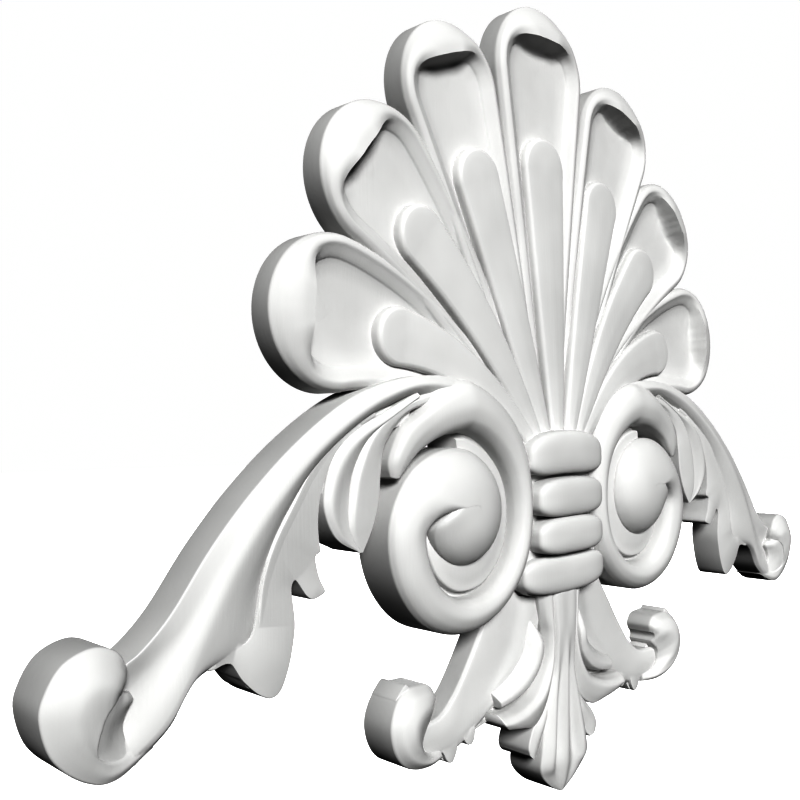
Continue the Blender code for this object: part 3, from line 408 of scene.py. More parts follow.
def shell_lobe(number, spine, forms):
    """A spoon: a rounded rim round a shallow floor, and a broad lip curled over at the end.

    The rim's inner edge is an arch, flat across the tip; under the lip the hollow falls
    steeply and reaches furthest at the middle, by a parabola across the lobe.
    """
    outline, middle, turn, width = teardrop(spine, LOBE_FOOT_HALF, 46, 81, 1.08)
    radius = spine[3]
    way = bezier(*spine[:3], [1.0])[1][0]
    around = np.minimum(np.abs(turn), END_TURN)
    down = np.clip((np.abs(turn) - END_TURN) / END_TURN, 0.0, 1.0)
    arch = radius * smoothed(*points(ARCH).T, around)
    lip = 1 - eased_step(22.0, 74.0, around)
    rim_in = np.minimum(radius - arch, np.where(np.abs(turn) <= END_TURN, 0.6, 0.42) * width)
    across = arch * np.sin(np.radians(turn)) / radius
    run = np.where(np.abs(turn) < 90.0, RECESS * np.clip(1 - (across / 0.75)**2, 0.0, 1.0)**2, 0.0)
    cove = np.minimum(2.8 - 2.5 * lip, 0.26 * width)
    floor = SHELL_FLOOR_TIP + (SHELL_FLOOR_BASE - SHELL_FLOOR_TIP) * down
    rim = SHELL_RIM_TIP + (SHELL_RIM_BASE - SHELL_RIM_TIP) * down + (LIP_HEIGHT - SHELL_RIM_TIP) * lip
    edge = SHELL_EDGE + (SHELL_RIM_BASE - 1.0 - SHELL_EDGE) * down
    insets = np.stack([0 * rim_in, 0.26 * rim_in, 0.7 * rim_in, rim_in, rim_in + 0.8 * cove,
                       rim_in + cove, width], axis=1)
    drop = rim - floor
    heights = np.stack([edge, edge + (0.72 - 0.3 * lip) * (rim - edge), rim - 0.5 * lip,
                        rim - 0.5 + 0.5 * lip, floor + (0.46 - 0.36 * lip) * drop,
                        floor + 0.3 * (1 - lip) * drop, floor - 0.1], axis=1)
    rails = inset(outline, middle, width, insets, heights)
    rails[4, :, :2] -= way * (0.86 * run[:, None])
    rails[5, :, :2] -= way * (1.35 * run[:, None])
    beyond = rails[5] * 0.66 + rails[6] * 0.34
    beyond[:, 2] = floor + 0.04 * (1 - lip) * drop
    rails = np.concatenate([rails[:6], beyond[None], rails[6:]])
    grid = eased(spread(rails, PROFILE_STEPS, sharp=(3,)), last=False)
    solid(f"shell_lobe_{number}", grid, forms, inner_wall=False, mirrored=number > 0)


def tongue(number, spine, forms):
    """A proud bar with upright sides, a rounded shoulder and a slightly crowned top."""
    outline, middle, turn, width = teardrop(spine, TONGUE_FOOT_HALF, 40, 41, 0.8)
    down = np.clip((np.abs(turn) - END_TURN) / END_TURN, 0.0, 1.0)
    top = TONGUE_TIP + (TONGUE_BASE - TONGUE_TIP) * down
    foot = SHELL_FLOOR_TIP - 1.0 + (SHELL_FLOOR_BASE - SHELL_FLOOR_TIP) * down
    zero = 0 * top
    insets = np.stack([zero, zero + 0.12, np.minimum(0.5, 0.2 * width),
                       np.minimum(1.3, 0.45 * width), width], axis=1)
    heights = np.stack([foot, top - 1.3, top - 0.5, top - 0.05, top + 0.25], axis=1)
    rails = inset(outline, middle, width, insets, heights)
    grid = spread(rails, PROFILE_STEPS)
    solid(f"tongue_{number}", grid, forms, inner_wall=False, mirrored=number > 0)


def shell_ground(forms):
    """The low ground that closes the gaps between the lobes, in steps that rise to the foot."""
    plate("shell_ground", [
        (0, -12), (13, -10), (60, 6), (74, 22), (66, 42), (58, 58), (44, 70), (34, 86), (18, 84),
        (0, 98), (-18, 84), (-34, 86), (-44, 70), (-58, 58), (-66, 42), (-74, 22), (-60, 6),
        (-13, -10)], SHELL_FLOOR_TIP - 0.2, forms, mirrored=False)


def polar(centre, degrees, radius):
    """Points at an angle from the top, counted towards the middle of the onlay, and a radius."""
    a = np.radians(degrees)
    return np.stack([centre[0] - np.sin(a) * radius, centre[1] + np.cos(a) * radius], axis=-1)


def eased_step(low, high, value):
    """Rises from 0 at low to 1 at high by the cubic that is level at both ends."""
    share = np.clip((value - low) / (high - low), 0.0, 1.0)
    return share * share * (3 - 2 * share)


def dome_height(share):
    """The eye's height at a share of its radius: flat at the apex, falling ever faster."""
    return EYE_CREST - (EYE_CREST - EYE_EDGE) * share**2.6


def volute(forms):
    """The roll, from the finger on the arm round to the top of the eye; the eye; the low ring."""
    table, eye = points(ROLL), points(EYE)
    angles = np.linspace(4.0, ROLL[-1][0], 150)
    outer = smoothed(table[:, 0], table[:, 1], angles)
    inner = smoothed(table[:, 0], table[:, 2], angles)
    blend = eased_step(250.0, 290.0, angles)
    ending = eased_step(296.0, 346.0, angles)
    sunk = smoothed([0, 330, 352, 376], [0.03, 0.03, 0.0, -0.3], angles)
    rails = []
    for share, height in ((0.0, CHANNEL_FLOOR - 0.8), (0.08, 11.6), (0.26, 13.8), (0.5, SCROLL_CREST),
                          (0.74, 13.7), (0.92, 12.2), (1.0, SCROLL_EDGE)):
        radius = inner + (outer - inner) * share
        edge_fall = (EYE_EDGE - SCROLL_EDGE) * share**6 * (1 - ending) + 1.3 * share**14 * ending
        swell = dome_height(np.minimum(radius / outer, 1.0)) + sunk - edge_fall
        flat = polar(VOLUTE_CENTRE, angles, radius)
        rails.append(np.column_stack([flat, height * (1 - blend) + swell * blend]))
    # The finger's lines, from its tip on the leaf to the place where the roll begins
    finger = (
        [(62.4, -15, 9.6), (60.6, -13.4, 9.6), (56.8, -9.8, 9.4), (52, -7.2, 9.3), (46.5, -5.4, 9.2)],
        [(62.6, -15.1, 10.2), (60.9, -12.8, 10.9), (57.2, -9, 11.4),
         (52.2, -6.2, 11.9), (46.7, -4.5, 12.2)],
        [(63, -15.2, 10.6), (61.6, -11.8, 11.6), (58, -7.4, 12.2), (52.8, -4, 13), (47, -2.4, 13.6)],
        [(63.4, -15.2, 10.7), (62.6, -11.2, 11.9), (59, -6, 12.6),
         (53.4, -1.9, 13.4), (47.4, 0.6, 14.1)],
        [(63.9, -15.2, 10.6), (63.8, -10.6, 11.8), (60, -4.6, 12.5),
         (53.9, -0.2, 13.3), (47.8, 3.4, 13.6)],
        [(64.5, -15.1, 10.3), (65.1, -10.4, 11), (61, -3.4, 11.8), (54.3, 1.2, 12.6), (48, 5.8, 12)],
        [(65.2, -14.8, 9.7), (65.9, -10.4, 9.8), (61.7, -2.8, 10), (54.6, 2, 10.2), (48.2, 7.6, 10.4)],
    )
    rails = [np.vstack([through(np.vstack([start, rail[:1]]), 26)[:-1], rail])
             for start, rail in zip(finger, rails)]
    solid("volute_roll", eased(spread(rails, PROFILE_STEPS), head=True), forms)

    angles = np.linspace(0.0, 360.0, 120, endpoint=False)
    full = smoothed(eye[:, 0], eye[:, 1], angles)
    cut = smoothed(eye[:, 0], eye[:, 2], angles)
    shares = np.array([1.0, 0.985, 0.95, 0.9, 0.84, 0.76, 0.66, 0.55, 0.43, 0.3, 0.16, 0.0])
    grid = []
    for share in shares:
        radius = cut * share
        height = dome_height(radius / full) - 1.3 * share**14
        grid.append(np.column_stack([polar(VOLUTE_CENTRE, angles, radius), height]))
    solid("volute_eye", np.stack(grid, axis=1), forms, closed_rows=True, inner_wall=False)

    angles = np.linspace(-5.0, 268.0, 110)
    edge = smoothed(table[:, 0], table[:, 2], np.maximum(angles, 0.0))
    low = smoothed([-5, 60, 200, 268], [10.2, 10.4, 10.2, 9.4], angles)
    rails = []
    groove = np.full(len(angles), CHANNEL_FLOOR - 0.4)
    for radius, height in ((np.full(len(angles), 8.0), low + 1.0), (edge - 5.6, low + 0.5),
                           (edge - 3.2, low + 0.15), (edge - 1.7, low), (edge - 1.3, low - 0.35),
                           (edge - 0.9, groove), (edge + 1.2, groove)):
        rails.append(np.column_stack([polar(VOLUTE_CENTRE, angles, radius), height]))
    solid("volute_ring", spread(rails, PROFILE_STEPS), forms)


def side_arm(forms):
    """The arm leaves the shell over the volute, carries the leaf and ends in a scroll."""
    strip("arm_rib", (
        [(30, 5, 0), (42, 9.2, 0), (55, 9.7, -0.2), (68, 7.4, -0.2), (80, 2.8, -0.2), (93, -5.4, -0.2),
         (105, -15.5, -0.2), (115, -26, -0.2), (124, -37.5, -0.1), (130, -43.2, 0), (134, -45.6, 0),
         (139, -48, 0)],
        [(30, 3.8, 0.9), (42, 8, 0.9), (55, 8.6, 0.9), (67.3, 5.8, 0.9), (78.9, 1, 0.9),
         (91.4, -7, 0.9), (103, -17.2, 0.9), (112.4, -28.4, 0.7), (120.8, -39.8, 0), (127, -46.6, -0.9),
         (131.4, -50.4, -1.5), (137, -55.4, -1.6)],
        [(30, 2.4, 1.7), (42, 6.6, 1.7), (55, 7.4, 1.7), (66.8, 4.5, 1.7), (77.9, -0.7, 1.8),
         (89.8, -8.8, 1.9), (100.8, -19.2, 1.9), (109.6, -30.2, 1.8), (117, -42.4, 1.5),
         (121.4, -50.8, 1.1), (126.4, -58, 0.7), (133.4, -63.4, 0.2)],
        [(30, 0.6, 0.6), (42, 4.8, 0.6), (55, 5.8, 0.6), (66, 3, 0.7), (76.8, -2.1, 0.8),
         (88.6, -10.2, 1), (99, -20.6, 1.3), (107, -31.8, 1.3), (114, -44.2, 1.1), (120.2, -51.6, 0.9),
         (125.6, -59, 0.5), (133, -64.4, -0.2)],
        [(30, -1, -2.3), (42, 3, -2.3), (55, 4.4, -2.3), (65, 1.6, -2.3), (75.6, -3.2, -2.1),
         (86.8, -12, -1.9), (95, -22.4, -1.5), (101.6, -34, -1), (106.6, -46.6, -0.3),
         (118.6, -51.7, -0.6), (124.4, -59.4, -0.6), (132, -65, -0.6)],
    ), forms, level=LEAF_EDGE)
    plate("leaf_ground", [
        (58, 3), (70, 0.6), (84, -6), (98, -22), (110, -36), (117.5, -47.6), (117.4, -49.6),
        (116.6, -50), (115.2, -50.6), (112.7, -50), (111.3, -50), (110.2, -50.7), (108.1, -53.9),
        (105.2, -56.8), (101, -57), (98, -48), (97, -38), (91, -26), (84, -15), (72, -6),
        (60, -2)], LEAF_EDGE - 0.6, forms)
    plate("leaf_face", [
        (74, -3), (80, -6.6), (83.2, -10), (86.2, -16.4), (87.3, -22), (87.2, -27), (86.8, -29.8),
        (88.2, -30.8), (88.1, -32.6), (87.2, -35.8), (85.7, -38.8), (87.6, -39.9), (89.5, -40.1),
        (91.2, -38.9), (93.2, -36.2), (94.2, -35.4), (95, -37), (94.6, -40.6), (94.2, -44.4),
        (94.6, -48), (95.8, -53), (97.6, -57.2), (99.2, -58.9), (101, -59.2), (103.1, -58.3),
        (105.2, -56.8), (108.1, -53.9), (110.2, -50.7), (111.3, -50), (112.7, -50), (115.2, -50.6),
        (116.6, -50), (117.2, -49.4), (116.4, -47.6), (110, -47), (106, -45.6), (104.2, -41),
        (102.6, -33.6), (99.4, -25.6), (94.6, -18.6), (88, -10.8), (82, -5.6),
        (76, -1.8)], LEAF_EDGE, forms)
    strip("leaf_ridge", (
        [(70, 1.2, -2.3), (77.9, -1.8, -2.3), (82.9, -5, -2.3), (89.9, -11.4, -2.3),
         (94.9, -18.4, -1.9), (99.9, -26.2, -1.5), (102.8, -33.4, -1.3), (104, -40.2, -0.9),
         (104.4, -46, -0.4)],
        [(70, 0.8, 0), (77.6, -2.2, 0.1), (82.6, -5.4, 0.2), (89.3, -11.8, 0.3), (94.2, -18.8, 0.35),
         (99.2, -26.4, 0.35), (102.2, -33.4, 0.3), (103.4, -40.2, 0.15), (103.6, -46, -0.1)],
        [(69.8, 0.2, 0), (77, -2.9, 0), (81.7, -6.3, 0.05), (88.2, -12.6, 0.1), (93, -19.4, 0.15),
         (97.9, -26.9, 0.15), (100.9, -33.8, 0.1), (102.2, -40.4, 0), (102.4, -46, -0.15)],
        [(69.6, -0.6, -0.5), (76.4, -3.7, -0.3), (80.9, -7.2, -0.2), (87, -13.4, -0.2),
         (91.6, -20.1, -0.2), (96.4, -27.4, -0.2), (99.4, -34.2, -0.2), (100.7, -40.6, -0.2),
         (100.9, -46, -0.3)],
    ), forms, level=LEAF_EDGE)
    strip("leaf_outer_flute", (
        [(56, 5.6, 0), (66, 1.2, 0), (76.5, -3.6, 0), (82.4, -8.5, 0), (85.4, -15.5, 0),
         (85.6, -21.5, 0), (82.2, -27.8, 0), (75.4, -31.5, 0)],
        [(56, 4.6, 1.1), (66, -0.6, 1.1), (75.2, -5.2, 1.1), (80.8, -10.6, 1.1), (83.6, -17, 1.1),
         (83.6, -22.5, 0.9), (80.4, -27.8, 0.5), (75.1, -31.5, 0)],
        [(56, 4, 0.6), (65, -0.6, 0.6), (73.5, -5.8, 0.5), (78.6, -12, 0.4), (80.8, -18.6, 0.3),
         (81, -23.6, 0.3), (79, -28, 0.2), (75, -31.5, 0)],
        [(56, 3.4, -0.4), (64, -0.5, -0.4), (72, -6, -0.5), (76.6, -13, -0.6), (78, -19.5, -0.5),
         (78.3, -24.5, -0.2), (77.2, -28, 0), (74.9, -31.5, 0)],
    ), forms, level=LEAF_EDGE)
    strip("leaf_inner_flute", (
        [(50, 6, -0.4), (62, 2.5, -0.4), (71.7, -4, -0.6), (76.5, -12.5, -0.7), (78.1, -19.5, -0.6),
         (78.5, -25, -0.2), (77.2, -28.4, 0), (75, -31.4, 0)],
        [(50, 5.2, 0.9), (62, 1.4, 0.9), (70.6, -4.8, 0.9), (75, -12.5, 0.9), (76.6, -19.2, 0.8),
         (77, -24.6, 0.6), (76.2, -28, 0.3), (74.8, -31.5, 0)],
        [(50, 4.4, 0.8), (61, 0.6, 0.8), (68.6, -5.6, 0.7), (72, -12.8, 0.6), (73.2, -19.2, 0.5),
         (73.8, -24.6, 0.4), (74.2, -28, 0.2), (74.6, -31.5, 0)],
        [(50, 3.4, 0), (60, 0, 0), (66.6, -6.6, 0), (68.2, -13, 0), (68.9, -19.6, 0), (70.4, -24.6, 0),
         (72.2, -28.2, 0), (74.4, -31.5, 0)],
    ), forms, level=LEAF_EDGE)


def end_scroll(forms):
    """The arm's end: a fat bulb curled in over the dished tip, with a bud in the curl."""
    plate("end_ground", [
        (124, -46), (133, -47), (141, -49), (143, -58), (139, -64.6), (133, -64.4), (127, -60.4),
        (121, -52)], LEAF_EDGE - 1.7, forms)
    strip("end_bulb", (
        [(134.9, -50.2, 0), (134.2, -48, 0.6), (134.4, -45.6, 1.2), (136.4, -42.4, 1.4),
         (141, -40.9, 1.4), (146.6, -42.8, 1.4), (150, -47.4, 1.4), (151, -52.2, 1.4),
         (148.6, -59.4, 1.2), (142.6, -64.8, 0.9), (136.4, -66.3, 0.4), (128, -62.8, -1)],
        [(135.2, -50.2, 0.8), (135, -48.2, 2), (135.8, -46.4, 2.7), (137.8, -44.8, 3),
         (141, -44.2, 3.2), (144.6, -45.6, 3.2), (147, -48.8, 3.2), (147.6, -52.6, 3),
         (145.8, -58, 2.6), (141.4, -62.4, 2.1), (136.2, -64.6, 1.2), (128.2, -62, -0.6)],
        [(135.8, -50.4, 1.8), (136.6, -49.4, 3.2), (137.6, -48.8, 3.9), (139, -48.2, 4.2),
         (141, -48.2, 4.3), (142.8, -49.2, 4.3), (144, -51, 4.2), (144.4, -53.4, 3.9),
         (143.6, -57, 3.4), (141, -60.8, 2.5), (136.2, -63.2, 1.1), (128.4, -61.2, -1)],
        [(136, -50.6, 1.6), (137.2, -51.2, 2.9), (138.3, -52, 3.4), (139.2, -53, 3.5),
         (139.9, -54.3, 3.5), (140.3, -55.4, 3.5), (140.6, -56.4, 3.4), (140.8, -57.6, 3.2),
         (140.8, -59.4, 2.7), (139.8, -61.2, 1.9), (136, -62, 0.5), (128.8, -60.4, -1.6)],
    ), forms, level=LEAF_EDGE, head=True)
    strip("end_bud", (
        [(135.2, -50, 1), (137.2, -50.8, 2.9), (139.4, -52.6, 3.4), (140.9, -55, 3.4),
         (141.6, -57.8, 3), (141.2, -60.8, 2.2), (137, -63.8, 1), (131.6, -63.4, 0)],
        [(134.6, -50.5, 0.8), (135.8, -51.9, 2), (137.6, -53.6, 2.5), (138.6, -55.6, 2.4),
         (139, -58, 2.1), (138.4, -60.6, 1.5), (135.2, -62.8, 0.6), (130.9, -62.9, -0.2)],
        [(133.8, -50.7, 0.4), (134, -52.3, 1), (135.5, -54.2, 1.2), (136.5, -56.2, 1.1),
         (136.8, -58.4, 0.9), (136, -60.6, 0.6), (133.6, -62.2, 0), (130.2, -62.4, -0.6)],
        [(133.1, -50.8, -0.2), (132.3, -52.4, -0.3), (133.6, -54.4, -0.3), (134.4, -56.6, -0.3),
         (134.1, -58.8, -0.4), (133, -60.6, -0.6), (131.4, -61.6, -0.8), (129.6, -61.9, -0.9)],
    ), forms, level=LEAF_EDGE)


def band(forms):
    """Four rolls bind the volutes together: pillows with flat fronts, stacked one over another.

    A roll's outline is a superellipse, and its front is a low dome: pairs of the outline's share
    and the fall from the middle. Each roll is given by its top, bottom, half width, front height
    and the rise of its middle.
    """
    rolls = ((-6.4, -18.6, 16.8, 15.8, 1.4), (-18.4, -29.3, 14.8, 17.0, 0.3),
             (-29.1, -39.5, 14.8, 16.9, 0.0), (-39.3, -50.2, 18.8, 14.4, -0.6))
    profile = ((1.0, 6.4), (1.0, 2.5), (0.985, 1.9), (0.95, 1.35), (0.88, 0.9), (0.77, 0.55),
               (0.62, 0.3), (0.42, 0.12), (0.2, 0.03), (0.0, 0.0))
    squareness = 0.62
    turn = np.radians(np.linspace(0.0, 360.0, 112, endpoint=False))
    round_x = np.sign(np.cos(turn)) * np.abs(np.cos(turn))**squareness
    round_z = np.sign(np.sin(turn)) * np.abs(np.sin(turn))**squareness
    for number, (top, bottom, half, front, arch) in enumerate(rolls):
        middle, tall = (top + bottom) / 2, (top - bottom) / 2
        columns = []
        for share, fall in profile:
            x = half * share * round_x
            z = middle + tall * share * round_z + arch * (1 - (x / half)**2)
            columns.append(np.column_stack([x, z, np.full(len(turn), front - fall)]))
        grid = np.stack(columns, axis=1)
        solid(f"band_roll_{number}", grid, forms, closed_rows=True, inner_wall=False, mirrored=False)
    plate("band_ground", [
        (-16, -8), (0, -5), (16, -8), (16.4, -30), (16, -49), (0, -50), (-16, -49),
        (-16.4, -30)], BAND_GROUND, forms, mirrored=False)


def pendant(forms):
    """Two half leaves turn outwards into scrolls, with fluted lobes and a plume between them."""
    plate("pendant_ground", [
        (0, -44), (22, -45), (27, -53), (31.4, -60.4), (37, -68.4), (41.4, -73.4), (46.6, -76.8),
        (51, -77.4), (55, -72), (60, -72), (62.4, -77), (58, -83.6), (50, -85.8), (47, -86.6),
        (44.4, -88.4), (42, -88.8), (40.6, -87.4), (39.6, -86), (37.6, -85.4), (36.2, -86),
        (34.4, -85.6), (33.2, -83.8), (28, -82.6), (20, -82), (12, -84), (10, -94),
        (0, -98)], PENDANT_EDGE + 0.2, forms)
    strip("pendant_arm", (
        [(22, -46, 0), (26, -52, 0), (30, -57.6, 0), (33.4, -62.6, 0), (38, -69, 0), (41.4, -72.8, 0),
         (46.5, -76.4, 0.2), (55, -77.2, 1)],
        [(21.4, -46.4, 0.9), (25.5, -52.3, 0.9), (29.5, -58, 0.9), (32.8, -63, 0.9), (37.5, -69.5, 0.9),
         (41, -73.4, 1), (46.3, -77, 1.2), (55, -78.2, 1.8)],
        [(17.8, -48, 1.5), (21.6, -54.4, 1.4), (25.4, -60.6, 1.3), (29.2, -66.6, 1.2), (34, -73.2, 1.2),
         (38.2, -77, 1.4), (45, -80.4, 1.7), (55, -80.6, 1.9)],
        [(15.2, -50.4, 1.8), (17, -56.6, 1.6), (19.4, -62.4, 1.4), (23, -67.6, 1.3), (28.6, -74, 1.4),
         (34.4, -79, 1.5), (43, -82.8, 1.6), (54.6, -82.6, 1.7)],
        [(9, -50, 3.2), (10.6, -56, 2.8), (12.6, -62, 2.4), (15.8, -67.4, 2.2), (21.4, -72, 1.9),
         (30.4, -79.8, 1.3), (41, -85.2, 1.2), (53, -84.8, 1.3)],
        [(7, -50, 3.2), (7.4, -57, 2.8), (9, -64, 2.4), (13, -70.4, 2), (19.6, -74.6, 1.6),
         (29.6, -81.6, 0), (40.6, -86.4, 0), (52, -86, 0)],
    ), forms, level=PENDANT_EDGE)
    plate("pendant_tab_near", [
        (46.4, -84), (45.4, -86.6), (44.2, -88.4), (42.6, -88.9), (41.4, -87.6), (40.6, -85.6),
        (41, -83.4)], PENDANT_EDGE + 1.4, forms)
    plate("pendant_tab_far", [
        (38.8, -82), (37.8, -84.6), (36.4, -86), (34.8, -86), (33.8, -84.4),
        (34, -81.6)], PENDANT_EDGE + 1.4, forms)
    strip("pendant_scroll", (
        [(50.8, -71.6, 2.2), (50.2, -69.2, 2.4), (52.2, -66.8, 2.5), (56, -66.2, 2.6),
         (60.2, -66.4, 2.8), (64, -69, 3.4), (66.2, -74, 3.8), (65.4, -79.4, 3.8), (62.4, -83.8, 3.6),
         (57.6, -86.2, 3.2), (52, -87, 2.6), (46.6, -86.8, 1.4)],
        [(51.4, -72, 3.4), (51.4, -70.2, 4.2), (53.4, -68.8, 4.8), (56.4, -68.4, 5.2), (59.6, -69, 5.6),
         (62, -71.2, 6), (63.2, -74.8, 6.1), (62.6, -78.8, 6), (60.4, -82, 5.6), (56.8, -84.4, 4.8),
         (52, -85.8, 3.6), (46.8, -86, 1.8)],
        [(52, -73.2, 3.4), (52.8, -72.2, 4.8), (54.6, -71.6, 5.8), (56.8, -71.6, 6.4),
         (58.8, -72.6, 6.7), (60.2, -74.2, 6.8), (60.6, -76.4, 6.7), (60, -78.8, 6.3),
         (58.2, -81.2, 5.6), (55.2, -83.6, 4.4), (51.2, -85, 2.8), (47, -85.2, 1.6)],
        [(51.4, -74.6, 2), (51.8, -75.4, 2.6), (52.6, -76.2, 3), (53.4, -77, 3.2), (54, -78, 3.2),
         (54.3, -79, 3), (54.4, -80, 2.8), (54.4, -81, 2.6), (54, -82.2, 2.4), (52.8, -83.4, 2),
         (50.4, -84.2, 1.6), (47.2, -84.4, 1.2)],
    ), forms, level=PENDANT_EDGE, head=True)
    plate("pendant_spike", [
        (58.8, -67), (59.5, -65.5), (60.4, -65.3), (61.8, -66.4), (63.6, -68.6),
        (61.6, -70)], PENDANT_EDGE + 2.8, forms)
    strip("pendant_upper_lobe", (
        [(12.8, -57, 1.6), (13.6, -62.6, 2.2), (15, -66.6, 2.2), (19, -70.4, 2), (23.4, -73, 1.8),
         (27.4, -74.6, 1.8)],
        [(12.2, -57, 2), (12, -63, 4.4), (13.4, -67.6, 4.5), (17.6, -71.8, 4.2), (22.4, -74.4, 3.8),
         (27, -75.8, 3.4)],
        [(11.6, -57, 2.2), (10.4, -63.2, 5.6), (11.4, -68.6, 5.6), (15.8, -73.2, 5.2), (21, -75.8, 4.7),
         (26.4, -77, 4.2)],
        [(11, -57, 2), (8.9, -63.4, 5.1), (9.9, -69.4, 5.1), (14.3, -74.3, 4.8), (19.7, -76.9, 4.3),
         (25.7, -78.2, 3.8)],
        [(10.4, -57, 1.6), (8.2, -63.6, 2.6), (9.2, -69.9, 2.8), (13.6, -75, 2.6), (19.2, -77.6, 2.6),
         (25.3, -78.8, 2.6)],
    ), forms, level=PENDANT_EDGE, tail=True)
    strip("pendant_lower_lobe", (
        [(10.4, -50, 4.4), (8.2, -57, 3.4), (7.2, -62.6, 2.8), (8.4, -69.6, 2.8), (12.6, -75.8, 2.8),
         (18.6, -78.8, 3), (24.4, -79.6, 3.6), (28.6, -79.4, 4.4)],
        [(8.4, -50, 5.6), (7.2, -57.4, 5.4), (6.3, -62.8, 5.4), (7.6, -70, 5.6), (11.8, -76.5, 5.9),
         (18.2, -79.6, 6.2), (24.2, -80.6, 6.4), (28.6, -80.6, 6.4)],
        [(6.4, -50, 6.4), (5.8, -58, 6.4), (5.5, -63.4, 6.4), (6.7, -70.6, 6.7), (10.6, -77.6, 7),
         (17.2, -81, 7.3), (23.4, -82, 7.4), (28.2, -81.8, 7.2)],
        [(5.2, -52, 6), (4.8, -58.6, 5.8), (4.8, -65, 5.7), (6, -72.6, 5.9), (9.4, -79.8, 6.2),
         (15.6, -83, 6.8), (22, -83.4, 7), (27.2, -82.8, 6.8)],
        [(4.2, -54, 4.2), (4.2, -60, 4.2), (4.4, -67, 4.2), (5.6, -75.4, 4.4), (8.4, -82, 4.8),
         (13.6, -85.6, 5.4), (19.4, -84.8, 6.2), (26, -83.6, 6.4)],
    ), forms, level=PENDANT_EDGE, tail=True)
    strip("pendant_side_lobe", (
        [(7, -78, 3.6), (10.6, -83.4, 4.2), (14.4, -87.8, 4.8), (16, -91.2, 5), (15.6, -93.4, 5)],
        [(5.6, -79, 4.6), (9, -85, 5.4), (12.2, -89.6, 5.4), (14, -92.4, 5.4), (14.6, -94.4, 5.2)],
        [(4, -80, 4), (7, -86.6, 4.2), (9.8, -91.2, 4.2), (11.6, -94, 4.4), (13, -95.2, 4.8)],
    ), forms, level=PENDANT_EDGE)
    strip("pendant_plume", plume_rails(), forms, mirrored=False)


def plume_rails():
    """The plume's lines, from its flat shaft to its tip: on each side an edge, a ridge and a crease.

    A row has a height on the onlay, the plume's half width there and the levels of the edge, the
    ridge, the crease and the middle rib over the pendant's edge.
    """
    rows = (
        (-46, 7.4, 3, 6.8, 7.2, 7.2), (-55, 6.6, 3.2, 7, 7.3, 7.2), (-61, 5.8, 3.6, 7, 7.2, 7.2),
        (-67, 5.4, 4, 6.6, 6.6, 7.1), (-73, 5.6, 4.4, 6.3, 5.8, 7), (-80, 7.4, 4.6, 6.5, 5.2, 6.8),
        (-88, 9.2, 5, 6.9, 4.8, 6.6), (-94, 10.4, 5.2, 7.1, 4.7, 6.4), (-98.4, 11, 5, 6.6, 4.9, 6.1),
        (-101.6, 9.2, 4.4, 5.2, 4.7, 5.6), (-105, 5.2, 4, 4.4, 4.4, 4.9),
        (-107.4, 0.8, 3.8, 3.9, 4, 4.1),
    )
    rails = []
    for share, column in ((-1.0, 2), (-0.66, 3), (-0.35, 4), (0.0, 5), (0.35, 4), (0.66, 3), (1.0, 2)):
        rails.append([(row[1] * share, row[0], PENDANT_EDGE + row[column]) for row in rows])
    return rails


def block(name, place, size):
    """A plain box with its middle at the given place, linked into the scene."""
    bm = bmesh.new()
    bmesh.ops.create_cube(bm, size=1.0)
    matrix = Matrix.Translation(place) @ Matrix.Diagonal((*size, 1.0))
    bmesh.ops.transform(bm, verts=bm.verts, matrix=matrix)
    mesh = bpy.data.meshes.new(name)
    bm.to_mesh(mesh)
    bm.free()
    box = bpy.data.objects.new(name, mesh)
    bpy.context.scene.collection.objects.link(box)
    return box


def united(forms):
    """All forms joined to a core block inside them, into one closed mesh cut flat at the back."""
    piece = block("onlay_carving", (0.0, 0.0, 0.0), (2 * CORE_HALF, CORE_DEPTH, 2 * CORE_HALF))
    join = piece.modifiers.new("forms", "BOOLEAN")
    join.operation = "UNION"
    join.operand_type = "COLLECTION"
    join.collection = forms
    join.solver = "MANIFOLD"
    wall = block("wall_plane", (0.0, WALL_DEPTH / 2, 0.0), (WALL_WIDTH, WALL_DEPTH, WALL_WIDTH))
    cut = piece.modifiers.new("flat back", "BOOLEAN")
    cut.operation = "DIFFERENCE"
    cut.object = wall
    cut.solver = "MANIFOLD"
    depsgraph = bpy.context.evaluated_depsgraph_get()
    mesh = bpy.data.meshes.new_from_object(piece.evaluated_get(depsgraph))
    piece.modifiers.clear()
    piece.data = mesh
    for helper in (wall, *forms.objects):
        bpy.data.objects.remove(helper)
    bpy.data.collections.remove(forms)
    bm = bmesh.new()
    bm.from_mesh(mesh)
    bmesh.ops.remove_doubles(bm, verts=bm.verts, dist=MERGE)
    bmesh.ops.dissolve_degenerate(bm, edges=bm.edges, dist=MERGE)
    bmesh.ops.triangulate(bm, faces=bm.faces)
    bm.to_mesh(mesh)
    bm.free()
    mesh.shade_smooth()
    mesh.set_sharp_from_angle(angle=np.radians(SHARP_ANGLE))
    return piece


# The grain under the paint: its waves to a metre along X, Y and Z, its depth in metres, its share
GRAIN_SCALE = (1400.0, 1400.0, 60.0)
GRAIN_DEPTH = 0.0002
GRAIN_STRENGTH = 0.12
# The paint's soft patches: how many to a metre, the darker shade, and the noise where each shade ends
PATCH_SCALE = 45.0
PATCH_SHADE = 0.94
PATCH_ENDS = (0.35, 0.65)
SPECULAR = 0.3


